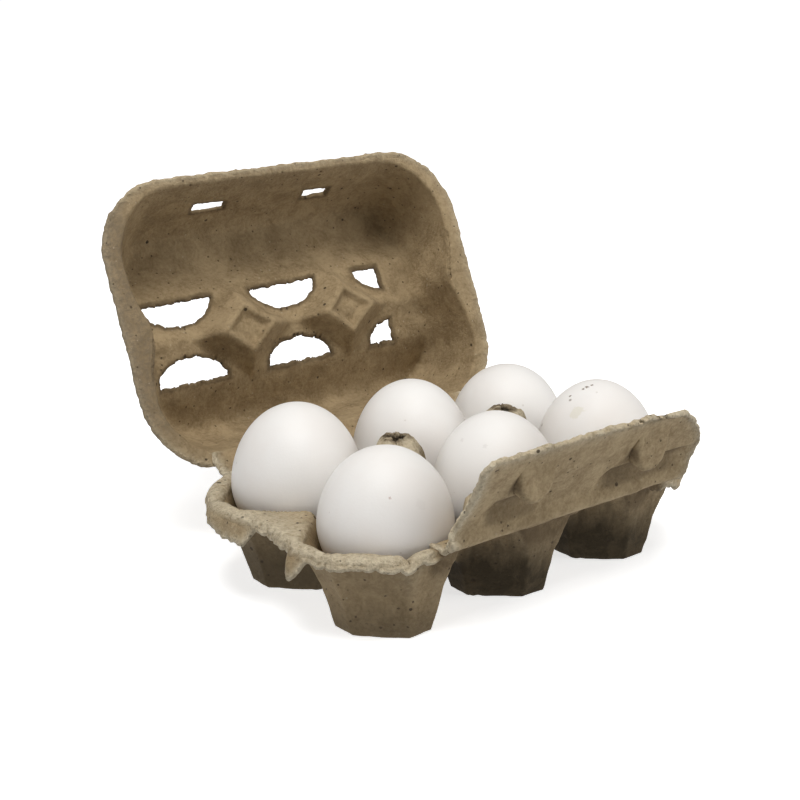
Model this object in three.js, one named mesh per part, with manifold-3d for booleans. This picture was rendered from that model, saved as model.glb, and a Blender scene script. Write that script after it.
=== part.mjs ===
// A moulded-pulp carton for six eggs, open, with its eggs.
// Millimetres. X runs along the three cups, +Y points to the lid hinge, +Z is up, the feet stand on z = 0.
import * as THREE from "three";
import { mergeVertices } from "three/addons/utils/BufferGeometryUtils.js";
import Module from "manifold-3d";

const wasm = await Module();
wasm.setup();
const { Manifold, Mesh: SolidMesh } = wasm;

// ---- driving sizes ----
const SHIFT_Y = -28.45; // moves the tray centre so that the origin lies under the middle of the open carton
const PITCH = 48; // spacing of the cups both ways
const HALF = PITCH / 2;
const PULP = 1.7; // wall thickness

const FOOT_SIDE = 17.4; // half-width of a foot across its short faces
const FOOT_DIAGONAL = 15.4; // half-width of a foot across its long diagonal faces
const WALL_KNEE = 21.6; // half-width at which the cup wall starts to flare
const WALL_TOP = 28.5; // half-width at the underside of the rim
const WALL_STEEP = 3.7; // rise per millimetre below the knee
const WALL_FLARE = 2.15; // rise per millimetre above the knee
const POST_STEEP = 6; // rise per millimetre above the rim
const FRONT_STEEP = 4.2; // rise per millimetre of the front and back walls
const ARCH_SOFTNESS = 28; // how far the arch between two feet is rounded
const RIM_UNDER = 30.8; // underside of the rim flange
const POST_UNDER = 48.6; // underside of the two centre posts
const HALF_POST_RISE = 8.5; // rise of the low posts at the front between cups
const RIM_X = 78.7; // half-length of the rim
const RIM_Y = 49.5; // half-width of the rim
const RIM_CORNER = 26; // corner radius of the rim
const RIM_WAIST = 2; // how far the ends of the rim are drawn in between cups
const POST_HOLE = 2.2; // radius of the hole in each centre post

const HINGE_Y = 54.2; // lid crease
const HINGE_Z = 29.4;
const HINGE_HALF = 57; // half-length of the lid crease
const LID_OPEN = 112.6; // degrees the lid stands open
const LID_X = 79.5; // half-length of the lid rim
const LID_V0 = 4.2; // rear edge of the lid rim, measured from the crease
const LID_V1 = 109.5; // front edge of the lid rim
const LID_CORNER = 28;
const LID_RISE = 6.9; // height of the lid rim over the crease when shut
const LID_SKEW = 0.17; // the soft roof leans along X by this share of its depth
const LID_WALL_STEEP = 3.4;
const ROOF_DEPTH = 33.5; // inside depth of the two long vaults of the roof
const VALLEY_DEPTH = 23.4; // inside depth between the vaults
const SEAT_DEPTH = 13.4; // inside depth at the edge of the two post seats
const SEAT_HOLLOW = 2.8;
const SEAT_X = 23.4;
const WINDOW_HALF = 14.9; // half-length of a window's straight edge
const WINDOW_SAG = 9.6; // how far a window reaches towards the spine

const CREASE_Y = -53; // flap crease
const CREASE_Z = 31.5;
const FLAP_LEAN = 30; // degrees the flap leans out
const KNOB_RISE = 4.6;

const pulpLook = { color: 0x9c8f78, roughness: 0.95, metalness: 0 };
const shellLook = { color: 0xf0ebe4, roughness: 0.55, metalness: 0 };

// ---- small helpers ----
const clamp = (t, low, high) => Math.min(high, Math.max(low, t));
const smoothstep = (low, high, t) => {
  const u = clamp((t - low) / (high - low), 0, 1);
  return u * u * (3 - 2 * u);
};
// The smaller of two heights, with the corner between them rounded.
const softMin = (a, b, r) => Math.min(a, b) - Math.max(r - Math.abs(a - b), 0) ** 2 / (4 * r);
const softMax = (a, b, r) => -softMin(-a, -b, r);
const bell = (t) => Math.exp(-t * t);

// Signed distance to a rounded rectangle centred on the origin, negative inside.
function roundedBox(x, y, halfX, halfY, radius) {
  const dx = Math.abs(x) - halfX + radius;
  const dy = Math.abs(y) - halfY + radius;
  return Math.hypot(Math.max(dx, 0), Math.max(dy, 0)) + Math.min(Math.max(dx, dy), 0) - radius;
}

// A closed geometry as a solid that can be joined and cut.
function solidOf(geometry) {
  const bare = new THREE.BufferGeometry().setAttribute("position", geometry.getAttribute("position"));
  bare.setIndex(geometry.index);
  const joined = mergeVertices(bare, 1e-3);
  return new Manifold(
    new SolidMesh({
      numProp: 3,
      vertProperties: joined.attributes.position.array,
      triVerts: new Uint32Array(joined.index.array),
    }),
  );
}

// One closed geometry from loose triangles, arrays of three points each.
function geometryFrom(triangles) {
  const flat = new Float32Array(triangles.flat(2));
  return mergeVertices(new THREE.BufferGeometry().setAttribute("position", new THREE.BufferAttribute(flat, 3)), 1e-3);
}

function geometryOf(solid) {
  const mesh = solid.getMesh();
  return new THREE.BufferGeometry()
    .setAttribute("position", new THREE.BufferAttribute(new Float32Array(mesh.vertProperties), 3))
    .setIndex(new THREE.BufferAttribute(new Uint32Array(mesh.triVerts), 1));
}

function block(x0, x1, y0, y1, z0, z1) {
  const box = new THREE.BoxGeometry(x1 - x0, y1 - y0, z1 - z0);
  return solidOf(box.translate((x0 + x1) / 2, (y0 + y1) / 2, (z0 + z1) / 2));
}

// A prism over a flat outline of [x, y] points.
function prism(outline, depth) {
  const shape = new THREE.Shape(outline.map(([x, y]) => new THREE.Vector2(x, y)));
  return new THREE.ExtrudeGeometry(shape, { depth, bevelEnabled: false });
}

// A bar along X whose section is given as [y, z] points.
function bar(section, halfLength) {
  const swap = new THREE.Matrix4().set(0, 0, 1, -halfLength, 1, 0, 0, 0, 0, 1, 0, 0, 0, 0, 0, 1);
  return solidOf(prism(section, 2 * halfLength).applyMatrix4(swap));
}

// The point of a sheet that lies at `thickness` from a height surface, square to it.
function offsetPoint(height, x, y, thickness) {
  const step = 0.6;
  const sx = (height(x + step, y) - height(x - step, y)) / (2 * step);
  const sy = (height(x, y + step) - height(x, y - step)) / (2 * step);
  const length = Math.hypot(sx, sy, 1);
  return [x - (thickness * sx) / length, y - (thickness * sy) / length, height(x, y) + thickness / length];
}

// ---- tray ----
const cupCentres = [-PITCH, 0, PITCH].flatMap((x) => [-HALF, HALF].map((y) => [x, y]));

// Half-width of the octagon, centred on a cup, that passes through a point.
function octagon(x, y) {
  const ax = Math.abs(x);
  const ay = Math.abs(y);
  return Math.max(ax, ay, ((ax + ay) / Math.SQRT2) * (FOOT_SIDE / FOOT_DIAGONAL));
}

// Height of one cup's underside, before it is capped by the rim or a post.
function cupHeight(x, y, outward) {
  const g = octagon(x, y);
  const knee = (WALL_KNEE - FOOT_SIDE) * WALL_STEEP;
  let rise;
  if (g < WALL_KNEE) rise = (g - FOOT_SIDE) * WALL_STEEP;
  else if (g < WALL_TOP) rise = knee + (g - WALL_KNEE) * WALL_FLARE;
  else rise = knee + (WALL_TOP - WALL_KNEE) * WALL_FLARE + (g - WALL_TOP) * POST_STEEP;
  rise = Math.max(rise, (y * outward - FOOT_SIDE) * FRONT_STEEP);
  return softMax(0, rise, 4);
}

function capHeight(x, y) {
  const post = Math.abs(Math.abs(x) - HALF) < HALF && Math.abs(y) < HALF;
  if (post) return POST_UNDER;
  const raised = HALF_POST_RISE * bell((Math.abs(x) - HALF) / 8) * bell((y + 38.5) / 5.5);
  return RIM_UNDER + (Math.abs(x) < PITCH ? raised : 0);
}

// Height of the tray's underside.
function underside(x, y) {
  const column = clamp(Math.round(x / PITCH), -1, 1) * PITCH;
  const beside = column + (x > column ? PITCH : -PITCH);
  const row = y > 0 ? HALF : -HALF;
  const across = (cx) => {
    const near = cupHeight(x - cx, y - row, Math.sign(row));
    const far = cupHeight(x - cx, y + row, -Math.sign(row));
    return softMin(near, far, softness(near));
  };
  const own = across(column);
  const next = Math.abs(beside) > PITCH ? Infinity : across(beside);
  const all = next === Infinity ? own : softMin(own, next, softness(own));
  return Math.min(all, capHeight(x, y));
}

const softness = (z) => ARCH_SOFTNESS - (ARCH_SOFTNESS - 5) * smoothstep(16, 32, z);

function rimDistance(x, y) {
  const waist = RIM_WAIST * bell(y / 15) * smoothstep(50, 70, Math.abs(x));
  return roundedBox(x, y, RIM_X, RIM_Y, RIM_CORNER) + waist;
}

// Distance from a cup centre to the rim edge along a direction.
function reachRim(cx, cy, ux, uy) {
  let low = 0;
  let high = 60;
  for (let i = 0; i < 40; i++) {
    const mid = (low + high) / 2;
    if (rimDistance(cx + ux * mid, cy + uy * mid) < 0) low = mid;
    else high = mid;
  }
  return low;
}

// Points round the edge of one cup's share of the tray, going round from +X.
function cellEdge(cx, cy) {
  const shares = [0.253, 0.5, 0.75];
  const endX = cx === 0 ? 0 : Math.sign(cx);
  const endY = Math.sign(cy);
  const corner = (sx, sy) => {
    const outX = sx === endX;
    const outY = sy === endY;
    if (outX && outY) return [sx * HALF, sy * HALF];
    return [sx * (outX ? RIM_X - RIM_WAIST - PITCH : HALF), sy * (outY ? RIM_Y - HALF : HALF)];
  };
  const targets = [];
  for (const [sx, sy, alongX] of [
    [1, 1, true],
    [-1, 1, false],
    [-1, -1, true],
    [1, -1, false],
  ]) {
    const [qx, qy] = corner(sx, sy);
    const onX = [0, ...shares, 1].map((f) => [qx, qy * f]);
    const onY = [0, ...shares].map((f) => [qx * f, qy]).reverse();
    const quadrant = [...onX, ...onY];
    if (!alongX) quadrant.reverse();
    quadrant.pop();
    targets.push(...quadrant);
  }
  return targets.map(([tx, ty]) => {
    const length = Math.hypot(tx, ty);
    const reach = reachRim(cx, cy, tx / length, ty / length);
    const inner = Math.abs(tx) <= HALF + 1e-6 && Math.sign(tx) !== endX && Math.abs(Math.abs(tx) - HALF) < 1e-6;
    const innerY = Math.sign(ty) !== endY && Math.abs(Math.abs(ty) - HALF) < 1e-6;
    return { ux: tx / length, uy: ty / length, reach: inner || innerY ? length : reach, inner: inner || innerY };
  });
}

// Distances from the cup centre at which the sheet is divided, along one direction.
function rings(cx, cy, edge) {
  const unit = octagon(edge.ux, edge.uy);
  const start = 18.4 / unit;
  let cap = edge.reach;
  for (let s = start; s < edge.reach; s += 0.1) {
    const x = cx + edge.ux * s;
    const y = cy + edge.uy * s;
    if (underside(x, y) > capHeight(x, y) - 0.05) {
      cap = s;
      break;
    }
  }
  if (cap > edge.reach - 0.8) cap = start + (edge.reach - start) * 0.7;
  const wall = [0.33, 0.66, 1].map((f) => start + (cap - start) * f);
  return [14.4 / unit, 17.2 / unit, start, ...wall, (cap + edge.reach) / 2, edge.reach];
}

function traySheet() {
  const triangles = [];
  const quad = (a, b, c, d) => triangles.push([a, b, c], [a, c, d]);
  for (const [cx, cy] of cupCentres) {
    const edges = cellEdge(cx, cy);
    const low = [];
    const high = [];
    for (const edge of edges) {
      const radii = rings(cx, cy, edge);
      low.push(radii.map((s) => [cx + edge.ux * s, cy + edge.uy * s]));
      high.push(
        low.at(-1).map(([x, y], k) =>
          k === radii.length - 1 && !edge.inner
            ? [x, y, underside(x, y) + PULP]
            : offsetPoint(underside, x, y, PULP),
        ),
      );
      low[low.length - 1] = low.at(-1).map(([x, y]) => [x, y, underside(x, y)]);
    }
    edges.forEach((edge, i) => {
      const j = (i + 1) % edges.length;
      triangles.push([[cx, cy, 0], low[j][0], low[i][0]]);
      triangles.push([[cx, cy, PULP], high[i][0], high[j][0]]);
      for (let k = 1; k < low[i].length; k++) {
        quad(low[i][k - 1], low[j][k - 1], low[j][k], low[i][k]);
        quad(high[i][k - 1], high[i][k], high[j][k], high[j][k - 1]);
      }
      if (onRim(low[i].at(-1)) && onRim(low[j].at(-1)))
        quad(low[i].at(-1), low[j].at(-1), high[j].at(-1), high[i].at(-1));
    });
  }
  return solidOf(geometryFrom(triangles));
}

const onRim = ([x, y]) => rimDistance(x, y) > -0.02;

function tray() {
  const frontStrip = block(-47, 51, CREASE_Y + 2.3, -RIM_Y + 1.3, RIM_UNDER + 0.15, RIM_UNDER + 1.5);
  const backStrip = bar(
    [
      [RIM_Y - 1.5, RIM_UNDER + 0.1],
      [RIM_Y + 0.7, HINGE_Z - 0.4],
      [HINGE_Y - 1.6, HINGE_Z - 1],
      [HINGE_Y - 1.6, HINGE_Z + 0.6],
      [RIM_Y + 1.4, RIM_UNDER + 0.4],
      [RIM_Y + 1, RIM_UNDER + 1.9],
      [RIM_Y - 1.5, RIM_UNDER + 1.9],
    ],
    HINGE_HALF,
  );
  const holes = [-HALF, HALF].map((x) =>
    solidOf(
      new THREE.CylinderGeometry(POST_HOLE, POST_HOLE, 20, 12)
        .rotateX(Math.PI / 2)
        .rotateZ(0.2)
        .translate(x + 0.07, 0.05, POST_UNDER),
    ),
  );
  return geometryOf(Manifold.difference([Manifold.union([traySheet(), frontStrip, backStrip]), ...holes]));
}

// ---- lid, built shut: x along the crease, v forward from it (to -Y), height up from the rim ----
const LID_VC = (LID_V0 + LID_V1) / 2;
const lidEdge = (x, v) => roundedBox(x, v - LID_VC, LID_X, (LID_V1 - LID_V0) / 2, LID_CORNER);

// Width of the flat flange round the rim.
function flange(x, v) {
  const end = smoothstep(45, 72, Math.abs(x));
  const pinched = 5 * bell((v - 55) / 11);
  return 2.4 + end * (3.6 + pinched);
}

// Inside depth of the roof, without its walls.
function roofDepth(x, v) {
  const fromSpine = Math.abs(v - 52.6);
  const vault = smoothstep(13, 32, fromSpine);
  let depth = VALLEY_DEPTH + (ROOF_DEPTH - VALLEY_DEPTH) * vault;
  const spine = 1.6 * bell(fromSpine / 5);
  depth -= spine;
  const fromSeat = Math.abs(x) - SEAT_X;
  const diamond = Math.abs(fromSeat) / 20 + fromSpine / 16;
  depth -= (VALLEY_DEPTH - SEAT_DEPTH) * smoothstep(1, 0.42, diamond);
  depth += SEAT_HOLLOW * smoothstep(0.44, 0.26, diamond);
  return depth;
}

function lidInside(x, v) {
  const inset = -lidEdge(x, v) - flange(x, v);
  const wall = Math.max(0, inset) * LID_WALL_STEEP;
  return softMin(wall, roofDepth(x, v), 14);
}

const FIELD_X = 60; // half-size of the roof field inside the walls
const FIELD_V = 35.5;

// Point of the lid over the unit square's edge: ring 0 is the roof field's edge, the last ring the rim.
const RING_SHARES = [1, 0.72, 0.5, 0.34, 0.2, 0.1, 0];
function ringPoint(a, b, ring) {
  const halfV = (LID_V1 - LID_V0) / 2;
  const cornerX = LID_X - LID_CORNER;
  const cornerV = halfV - LID_CORNER;
  let [ex, ev] = [a * LID_X, b * halfV];
  if (Math.abs(ex) > cornerX && Math.abs(ev) > cornerV) {
    const [mx, mv] = [Math.sign(ex) * cornerX, Math.sign(ev) * cornerV];
    const length = Math.hypot(ex - mx, ev - mv);
    [ex, ev] = [mx + ((ex - mx) * LID_CORNER) / length, mv + ((ev - mv) * LID_CORNER) / length];
  }
  const [ix, iv] = [a * FIELD_X, b * FIELD_V];
  const span = Math.hypot(ex - ix, ev - iv);
  const wide = flange(ex, ev + LID_VC);
  const inset = ring === RING_SHARES.length ? 0 : wide + (span - wide) * RING_SHARES[ring];
  return [ex + ((ix - ex) * inset) / span, LID_VC + ev + ((iv - ev) * inset) / span];
}

function lidSheet() {
  const [nx, nv] = [12, 8];
  const triangles = [];
  const quad = (a, b, c, d) => triangles.push([a, c, b], [a, d, c]);
  const forward = ([x, v, height]) => [x, -v, height];
  const both = ([x, v], rim) => [
    forward([x, v, lidInside(x, v)]),
    forward(rim ? [x, v, PULP] : offsetPoint(lidInside, x, v, PULP)),
  ];
  const field = (i, j) => both([(i / nx) * FIELD_X, LID_VC + (j / nv) * FIELD_V], false);
  for (let i = -nx; i < nx; i++)
    for (let j = -nv; j < nv; j++) {
      const [A, B, C, D] = [field(i, j), field(i + 1, j), field(i + 1, j + 1), field(i, j + 1)];
      quad(A[0], D[0], C[0], B[0]);
      quad(A[1], B[1], C[1], D[1]);
    }
  const edge = [];
  for (let i = -nx; i < nx; i++) edge.push([i / nx, -1]);
  for (let j = -nv; j < nv; j++) edge.push([1, j / nv]);
  for (let i = nx; i > -nx; i--) edge.push([i / nx, 1]);
  for (let j = nv; j > -nv; j--) edge.push([-1, j / nv]);
  const last = RING_SHARES.length;
  const columns = edge.map(([a, b]) =>
    Array.from({ length: last + 1 }, (_, ring) => both(ringPoint(a, b, ring), ring === last)),
  );
  columns.forEach((column, i) => {
    const next = columns[(i + 1) % columns.length];
    for (let k = 0; k < last; k++) {
      quad(column[k][0], next[k][0], next[k + 1][0], column[k + 1][0]);
      quad(column[k][1], column[k + 1][1], next[k + 1][1], next[k][1]);
    }
    quad(column[last][0], next[last][0], next[last][1], column[last][1]);
  });
  return solidOf(geometryFrom(triangles));
}

// A half-moon prism through the roof: straight edge at `chord`, belly towards the spine.
function windowCutter(x0, x1, centre, chord, sag) {
  const outline = [];
  const steps = 12;
  for (let k = 0; k <= steps; k++) {
    const angle = (Math.PI * k) / steps;
    const x = clamp(centre + WINDOW_HALF * Math.cos(angle), x0, x1);
    const level = Math.sqrt(Math.max(0, 1 - ((x - centre) / WINDOW_HALF) ** 2));
    outline.push([x, -chord - sag * level]);
  }
  return solidOf(prism(outline, 60));
}

function lid() {
  const windows = [];
  for (const [chord, sag] of [
    [LID_VC + 11.5, -WINDOW_SAG],
    [LID_VC - 19.6, WINDOW_SAG],
  ])
    for (const centre of [-48.2, 0, 49.6])
      windows.push(windowCutter(-70, centre > 10 ? 46.6 : 70, centre, chord, sag));
  const slots = [-1, 1].map((side) => {
    const middle = 24.7 * side;
    return block(middle - 7.3, middle + 7.3, -112, -92, 17.5, 24.5);
  });
  const strip = bar(
    [
      [-1.67, -5.7],
      [-4.9, -0.4],
      [-7.4, 0.1],
      [-7.4, 1.8],
      [-3.9, 1.8],
      [-3.4, 0.1],
      [-0.3, -4.9],
    ],
    HINGE_HALF,
  );
  const shell = Manifold.union([Manifold.difference([lidSheet(), ...windows, ...slots]), strip]);
  // The roof leans along X; the front of the shut lid faces -Y, its rim above the crease.
  const lean = new THREE.Matrix4().set(1, 0, LID_SKEW, -0.15, 0, 1, 0, 0, 0, 0, 1, 0, 0, 0, 0, 1);
  const face = new THREE.Matrix4().makeTranslation(0, 0, LID_RISE);
  return geometryOf(shell).applyMatrix4(face.multiply(lean));
}

// ---- flap, built upright: x along the crease, y outward to the front, z up ----
const FLAP_OUTLINE = [
  { up: 0.6, left: -47, right: 50 },
  { up: 3.5, left: -48.5, right: 54 },
  { up: 7, left: -48.8, right: 57.5 },
  { up: 11, left: -47.6, right: 58 },
  { up: 16, left: -46.6, right: 57.6 },
  { up: 20, left: -46, right: 56 },
  { up: 25, left: -45.5, right: 52 },
  { up: 30, left: -46, right: 46 },
  { up: 34, left: -46.4, right: 40 },
  { up: 37.5, left: -44, right: 17 },
];

// How far the flap's front stands out: a roll along the crease, hollows over it and two knobs.
function flapFront(x, up) {
  let out = 1.6 * bell((up - 4.5) / 3.2);
  for (const [centre, half] of [
    [-24, 17],
    [27, 15],
  ]) {
    const along = smoothstep(half, half - 7, Math.abs(x - centre));
    out -= 2.2 * along * bell((up - 12.5) / 4);
    const knob = smoothstep(7.4, 4.4, Math.abs(x - centre)) * smoothstep(14, 17.5, up);
    out += KNOB_RISE * knob * smoothstep(37, 20, up);
  }
  return out;
}

function flap() {
  const columns = 25;
  const triangles = [];
  const quad = (a, b, c, d) => triangles.push([a, b, c], [a, c, d]);
  const front = [];
  const back = [];
  for (const { up, left, right } of FLAP_OUTLINE) {
    const xs = Array.from({ length: columns + 1 }, (_, i) => left + ((right - left) * i) / columns);
    front.push(xs.map((x) => [x, up, flapFront(x, up)]));
    back.push(xs.map((x) => [x, up, flapFront(x, up) - PULP]));
  }
  const rows = FLAP_OUTLINE.length;
  for (let r = 0; r + 1 < rows; r++)
    for (let i = 0; i < columns; i++) {
      quad(front[r][i], front[r][i + 1], front[r + 1][i + 1], front[r + 1][i]);
      quad(back[r][i], back[r + 1][i], back[r + 1][i + 1], back[r][i + 1]);
    }
  for (let i = 0; i < columns; i++) {
    quad(back[0][i], back[0][i + 1], front[0][i + 1], front[0][i]);
    quad(front[rows - 1][i], front[rows - 1][i + 1], back[rows - 1][i + 1], back[rows - 1][i]);
  }
  for (let r = 0; r + 1 < rows; r++) {
    quad(front[r][0], front[r + 1][0], back[r + 1][0], back[r][0]);
    quad(front[r][columns], back[r][columns], back[r + 1][columns], front[r + 1][columns]);
  }
  return geometryFrom(triangles).rotateX(Math.PI / 2);
}

// ---- eggs ----
// Cup, how far the middle leans aside, height of the widest girth, its radius and the rise above it.
const eggs = [
  { name: "egg_front_left", cup: [-PITCH, -HALF], aside: [0.3, -0.1], z: 32.2, radius: 21.9, rise: 25.5 },
  { name: "egg_back_left", cup: [-PITCH, HALF], aside: [-0.3, 0.2], z: 32.8, radius: 22.4, rise: 28.1 },
  { name: "egg_back_middle", cup: [0, HALF], aside: [0.7, -0.6], z: 31.6, radius: 21.5, rise: 28.3 },
  { name: "egg_front_middle", cup: [0, -HALF], aside: [-0.6, 0.5], z: 31.7, radius: 21.6, rise: 27.5 },
  { name: "egg_back_right", cup: [PITCH, HALF], aside: [-0.5, 0.3], z: 30.7, radius: 21.5, rise: 25.9 },
  { name: "egg_front_right", cup: [PITCH, -HALF], aside: [-0.8, 0.7], z: 32.6, radius: 21.7, rise: 28.3 },
];
const EGG_FLOOR = 3.3; // height of the eggs' lower ends
const EGG_TAPER = 0.31; // how much slimmer the lower end is

function egg({ radius, rise, z, aside }) {
  const drop = z - EGG_FLOOR;
  const steps = 12;
  const profile = [];
  for (let k = 0; k <= steps; k++) {
    const angle = -Math.PI / 2 + (Math.PI * k) / steps;
    const level = Math.sin(angle);
    const slim = level < 0 ? 1 - EGG_TAPER * (-level) ** 1.5 : 1;
    profile.push(new THREE.Vector2(k % steps ? radius * slim * Math.cos(angle) : 0, level * (level < 0 ? drop : rise)));
  }
  const shell = new THREE.LatheGeometry(profile, 16).rotateX(Math.PI / 2);
  // The lower end sits in the middle of its cup.
  const points = shell.getAttribute("position");
  for (let i = 0; i < points.count; i++) {
    const sunk = Math.max(0, -points.getZ(i) / drop);
    points.setX(i, points.getX(i) + aside[0] * (1 - sunk));
    points.setY(i, points.getY(i) + aside[1] * (1 - sunk));
  }
  return shell;
}

// ---- the whole ----
const group = new THREE.Group();
function add(name, geometry, look, x, y, z, turn = 0) {
  const mesh = new THREE.Mesh(geometry, new THREE.MeshStandardMaterial(look));
  mesh.name = name;
  mesh.position.set(x, y + SHIFT_Y, z);
  mesh.rotation.x = THREE.MathUtils.degToRad(turn);
  group.add(mesh);
}

add("tray", tray(), pulpLook, 0, 0, 0);
add("lid", lid(), pulpLook, 0, HINGE_Y, HINGE_Z, -LID_OPEN);
add("flap", flap(), pulpLook, 0, CREASE_Y, CREASE_Z, FLAP_LEAN);
for (const one of eggs) add(one.name, egg(one), shellLook, ...one.cup, one.z);

export default group;
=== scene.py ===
"""An open moulded-pulp carton with six eggs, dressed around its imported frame.

Sizes are in millimetres until a mesh is written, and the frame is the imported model's own: X along
the three cups, +Y towards the lid hinge, +Z up. Tray, flap and crease shapes are worked out about
the tray's middle, and MIDDLE_Y is where that middle lies in the frame. Every pulp piece starts as
a thin sheet, given by a height function or a relief. Sheet.ruffled then makes it thick and rough.
"""

import logging
import math
from dataclasses import dataclass
from enum import Enum
from typing import Callable, Dict, List, Optional, Sequence, Tuple, Union

import bpy
import numpy as np
from mathutils import Matrix, Vector
from numpy.typing import NDArray


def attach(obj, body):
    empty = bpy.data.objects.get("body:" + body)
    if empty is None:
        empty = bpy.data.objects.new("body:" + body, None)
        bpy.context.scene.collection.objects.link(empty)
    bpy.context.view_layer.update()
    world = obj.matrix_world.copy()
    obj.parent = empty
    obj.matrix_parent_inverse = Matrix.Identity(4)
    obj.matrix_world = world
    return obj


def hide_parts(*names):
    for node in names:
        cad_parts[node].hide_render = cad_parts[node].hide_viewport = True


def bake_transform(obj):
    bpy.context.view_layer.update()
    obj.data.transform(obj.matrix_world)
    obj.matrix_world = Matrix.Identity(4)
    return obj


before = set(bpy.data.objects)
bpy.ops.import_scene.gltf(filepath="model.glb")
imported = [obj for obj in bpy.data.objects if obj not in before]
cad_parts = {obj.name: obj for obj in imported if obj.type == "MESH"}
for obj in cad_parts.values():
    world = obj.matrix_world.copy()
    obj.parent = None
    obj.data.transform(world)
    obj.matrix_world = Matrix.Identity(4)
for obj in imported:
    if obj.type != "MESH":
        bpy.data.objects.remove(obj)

Array = NDArray[np.float64]
Ints = NDArray[np.int64]
Colour = Tuple[float, float, float]
Number = Union[float, "Value"]
Octaves = Sequence[Tuple[float, float]]

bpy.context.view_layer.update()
MILLIMETRE = 0.001
MIDDLE_Y = -28.45  # the tray's middle in the frame
PULP = 1.7  # thickness of the pulp
FAR = 50.0  # stands for a distance beyond the reach of any edge
PROFILE_STEPS = 240  # samples along a wall before its points are spaced evenly
log = logging.getLogger("carton")


class Body(Enum):
    """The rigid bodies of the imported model."""

    TRAY = "tray"
    LID = "lid"
    FLAP = "flap"


class Slot(Enum):
    """Names of the material slots."""

    PULP = "pulp"
    EGGSHELL = "eggshell"


# ---------------------------------------------------------------- shapes as functions


def smoothstep(low: float, high: float, t: Array) -> Array:
    """Eases from 0 at low to 1 at high: u squared times (3 - 2u) of the clipped share u."""
    u = np.clip((t - low) / (high - low), 0.0, 1.0)
    return u * u * (3.0 - 2.0 * u)


def soft_min(a: Array, b: Array, radius: Union[float, Array]) -> Array:
    """The smaller of two fields, with the corner between them rounded.

    It is the minimum less the square of their nearness over four radii.
    """
    near = np.maximum(radius - np.abs(a - b), 0.0)
    return np.minimum(a, b) - near * near / (4.0 * radius)


def soft_max(a: Array, b: Array, radius: float) -> Array:
    """The larger of two fields with the corner between them rounded."""
    return -soft_min(-a, -b, radius)


def bell(t: Array) -> Array:
    """A hump of height 1 about zero: e to the power of minus t squared."""
    return np.exp(-t * t)


def rounded_box(x: Array, y: Array, half_x: float, half_y: float, radius: float) -> Array:
    """Signed distance to a rounded rectangle about the origin, negative inside."""
    dx = np.abs(x) - half_x + radius
    dy = np.abs(y) - half_y + radius
    outside = np.hypot(np.maximum(dx, 0.0), np.maximum(dy, 0.0))
    return outside + np.minimum(np.maximum(dx, dy), 0.0) - radius


def evenly(samples: Array, steps: Sequence[Array], count: int) -> Array:
    """Places points evenly by length along many lines at once.

    The run to a sample is the sum of its steps' lengths over the line's whole length, and what a
    point gets is read off between the two runs about it.

    Args:
        samples: What is wanted at each point, such as a radius, one line a row.
        steps: Differences between neighbouring samples along each axis.
        count: Number of points on each line.

    Returns:
        The samples at the even points, one line a row.
    """
    length = np.sqrt(sum(step**2 for step in steps))
    run = np.concatenate([np.zeros((len(length), 1)), np.cumsum(length, axis=1)], axis=1)
    run /= run[:, -1:]
    even = np.linspace(0.0, 1.0, count)
    return np.stack([np.interp(even, line, row) for line, row in zip(run, samples)])


class PulpNoise:
    """Seeded gradient noise.

    Each lattice corner has a slope, and a point eases between the slopes of its eight corners.
    """

    TABLE = 256
    GAIN = 1.7

    def __init__(self, seed: int) -> None:
        """Draws the lattice slopes.

        Args:
            seed: Number that fixes the draw.
        """
        draw = np.random.default_rng(seed)
        slopes = draw.normal(size=(self.TABLE, 3))
        self.slopes = slopes / np.linalg.norm(slopes, axis=1, keepdims=True)
        self.order = draw.permutation(self.TABLE)

    def lumps(self, points: Array, size: float) -> Array:
        """One octave of noise.

        Args:
            points: Places in millimetres, one a row.
            size: Width of a lump in millimetres.

        Returns:
            A value of about -1 to 1 for each place.
        """
        cell = points / size
        base = np.floor(cell).astype(np.int64)
        part = cell - base
        ease = part**3 * (part * (part * 6.0 - 15.0) + 10.0)
        total = np.zeros(len(points))
        for corner in np.ndindex(2, 2, 2):
            at = (base + corner) % self.TABLE
            index = self.order[at[:, 0]]
            index = self.order[(index + at[:, 1]) % self.TABLE]
            index = self.order[(index + at[:, 2]) % self.TABLE]
            weight = np.prod(np.where(corner, ease, 1.0 - ease), axis=1)
            total += weight * np.einsum("ij,ij->i", self.slopes[index], part - corner)
        return total * self.GAIN

    def layers(self, points: Array, sizes: Octaves) -> Array:
        """The sum of octaves given as pairs of lump size and height."""
        return sum(height * self.lumps(points, size) for size, height in sizes)


NOISE = PulpNoise(11)


@dataclass(frozen=True)
class Wear:
    """Roughness of the pulp and reach of its edges, in millimetres; octaves are size and height."""

    surface: Octaves = ((19.0, 0.3), (7.0, 0.2), (3.1, 0.11))
    shreds: Octaves = ((4.2, 0.34), (1.9, 0.36), (0.9, 0.2))
    shreds_shift: float = 40.0
    torn_reach: float = 1.6
    torn_swell: float = 0.2
    cut_reach: float = 1.5
    cut_swell: float = 0.1
    cut_shreds: float = 0.3
    rings: int = 5


WEAR = Wear()


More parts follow.
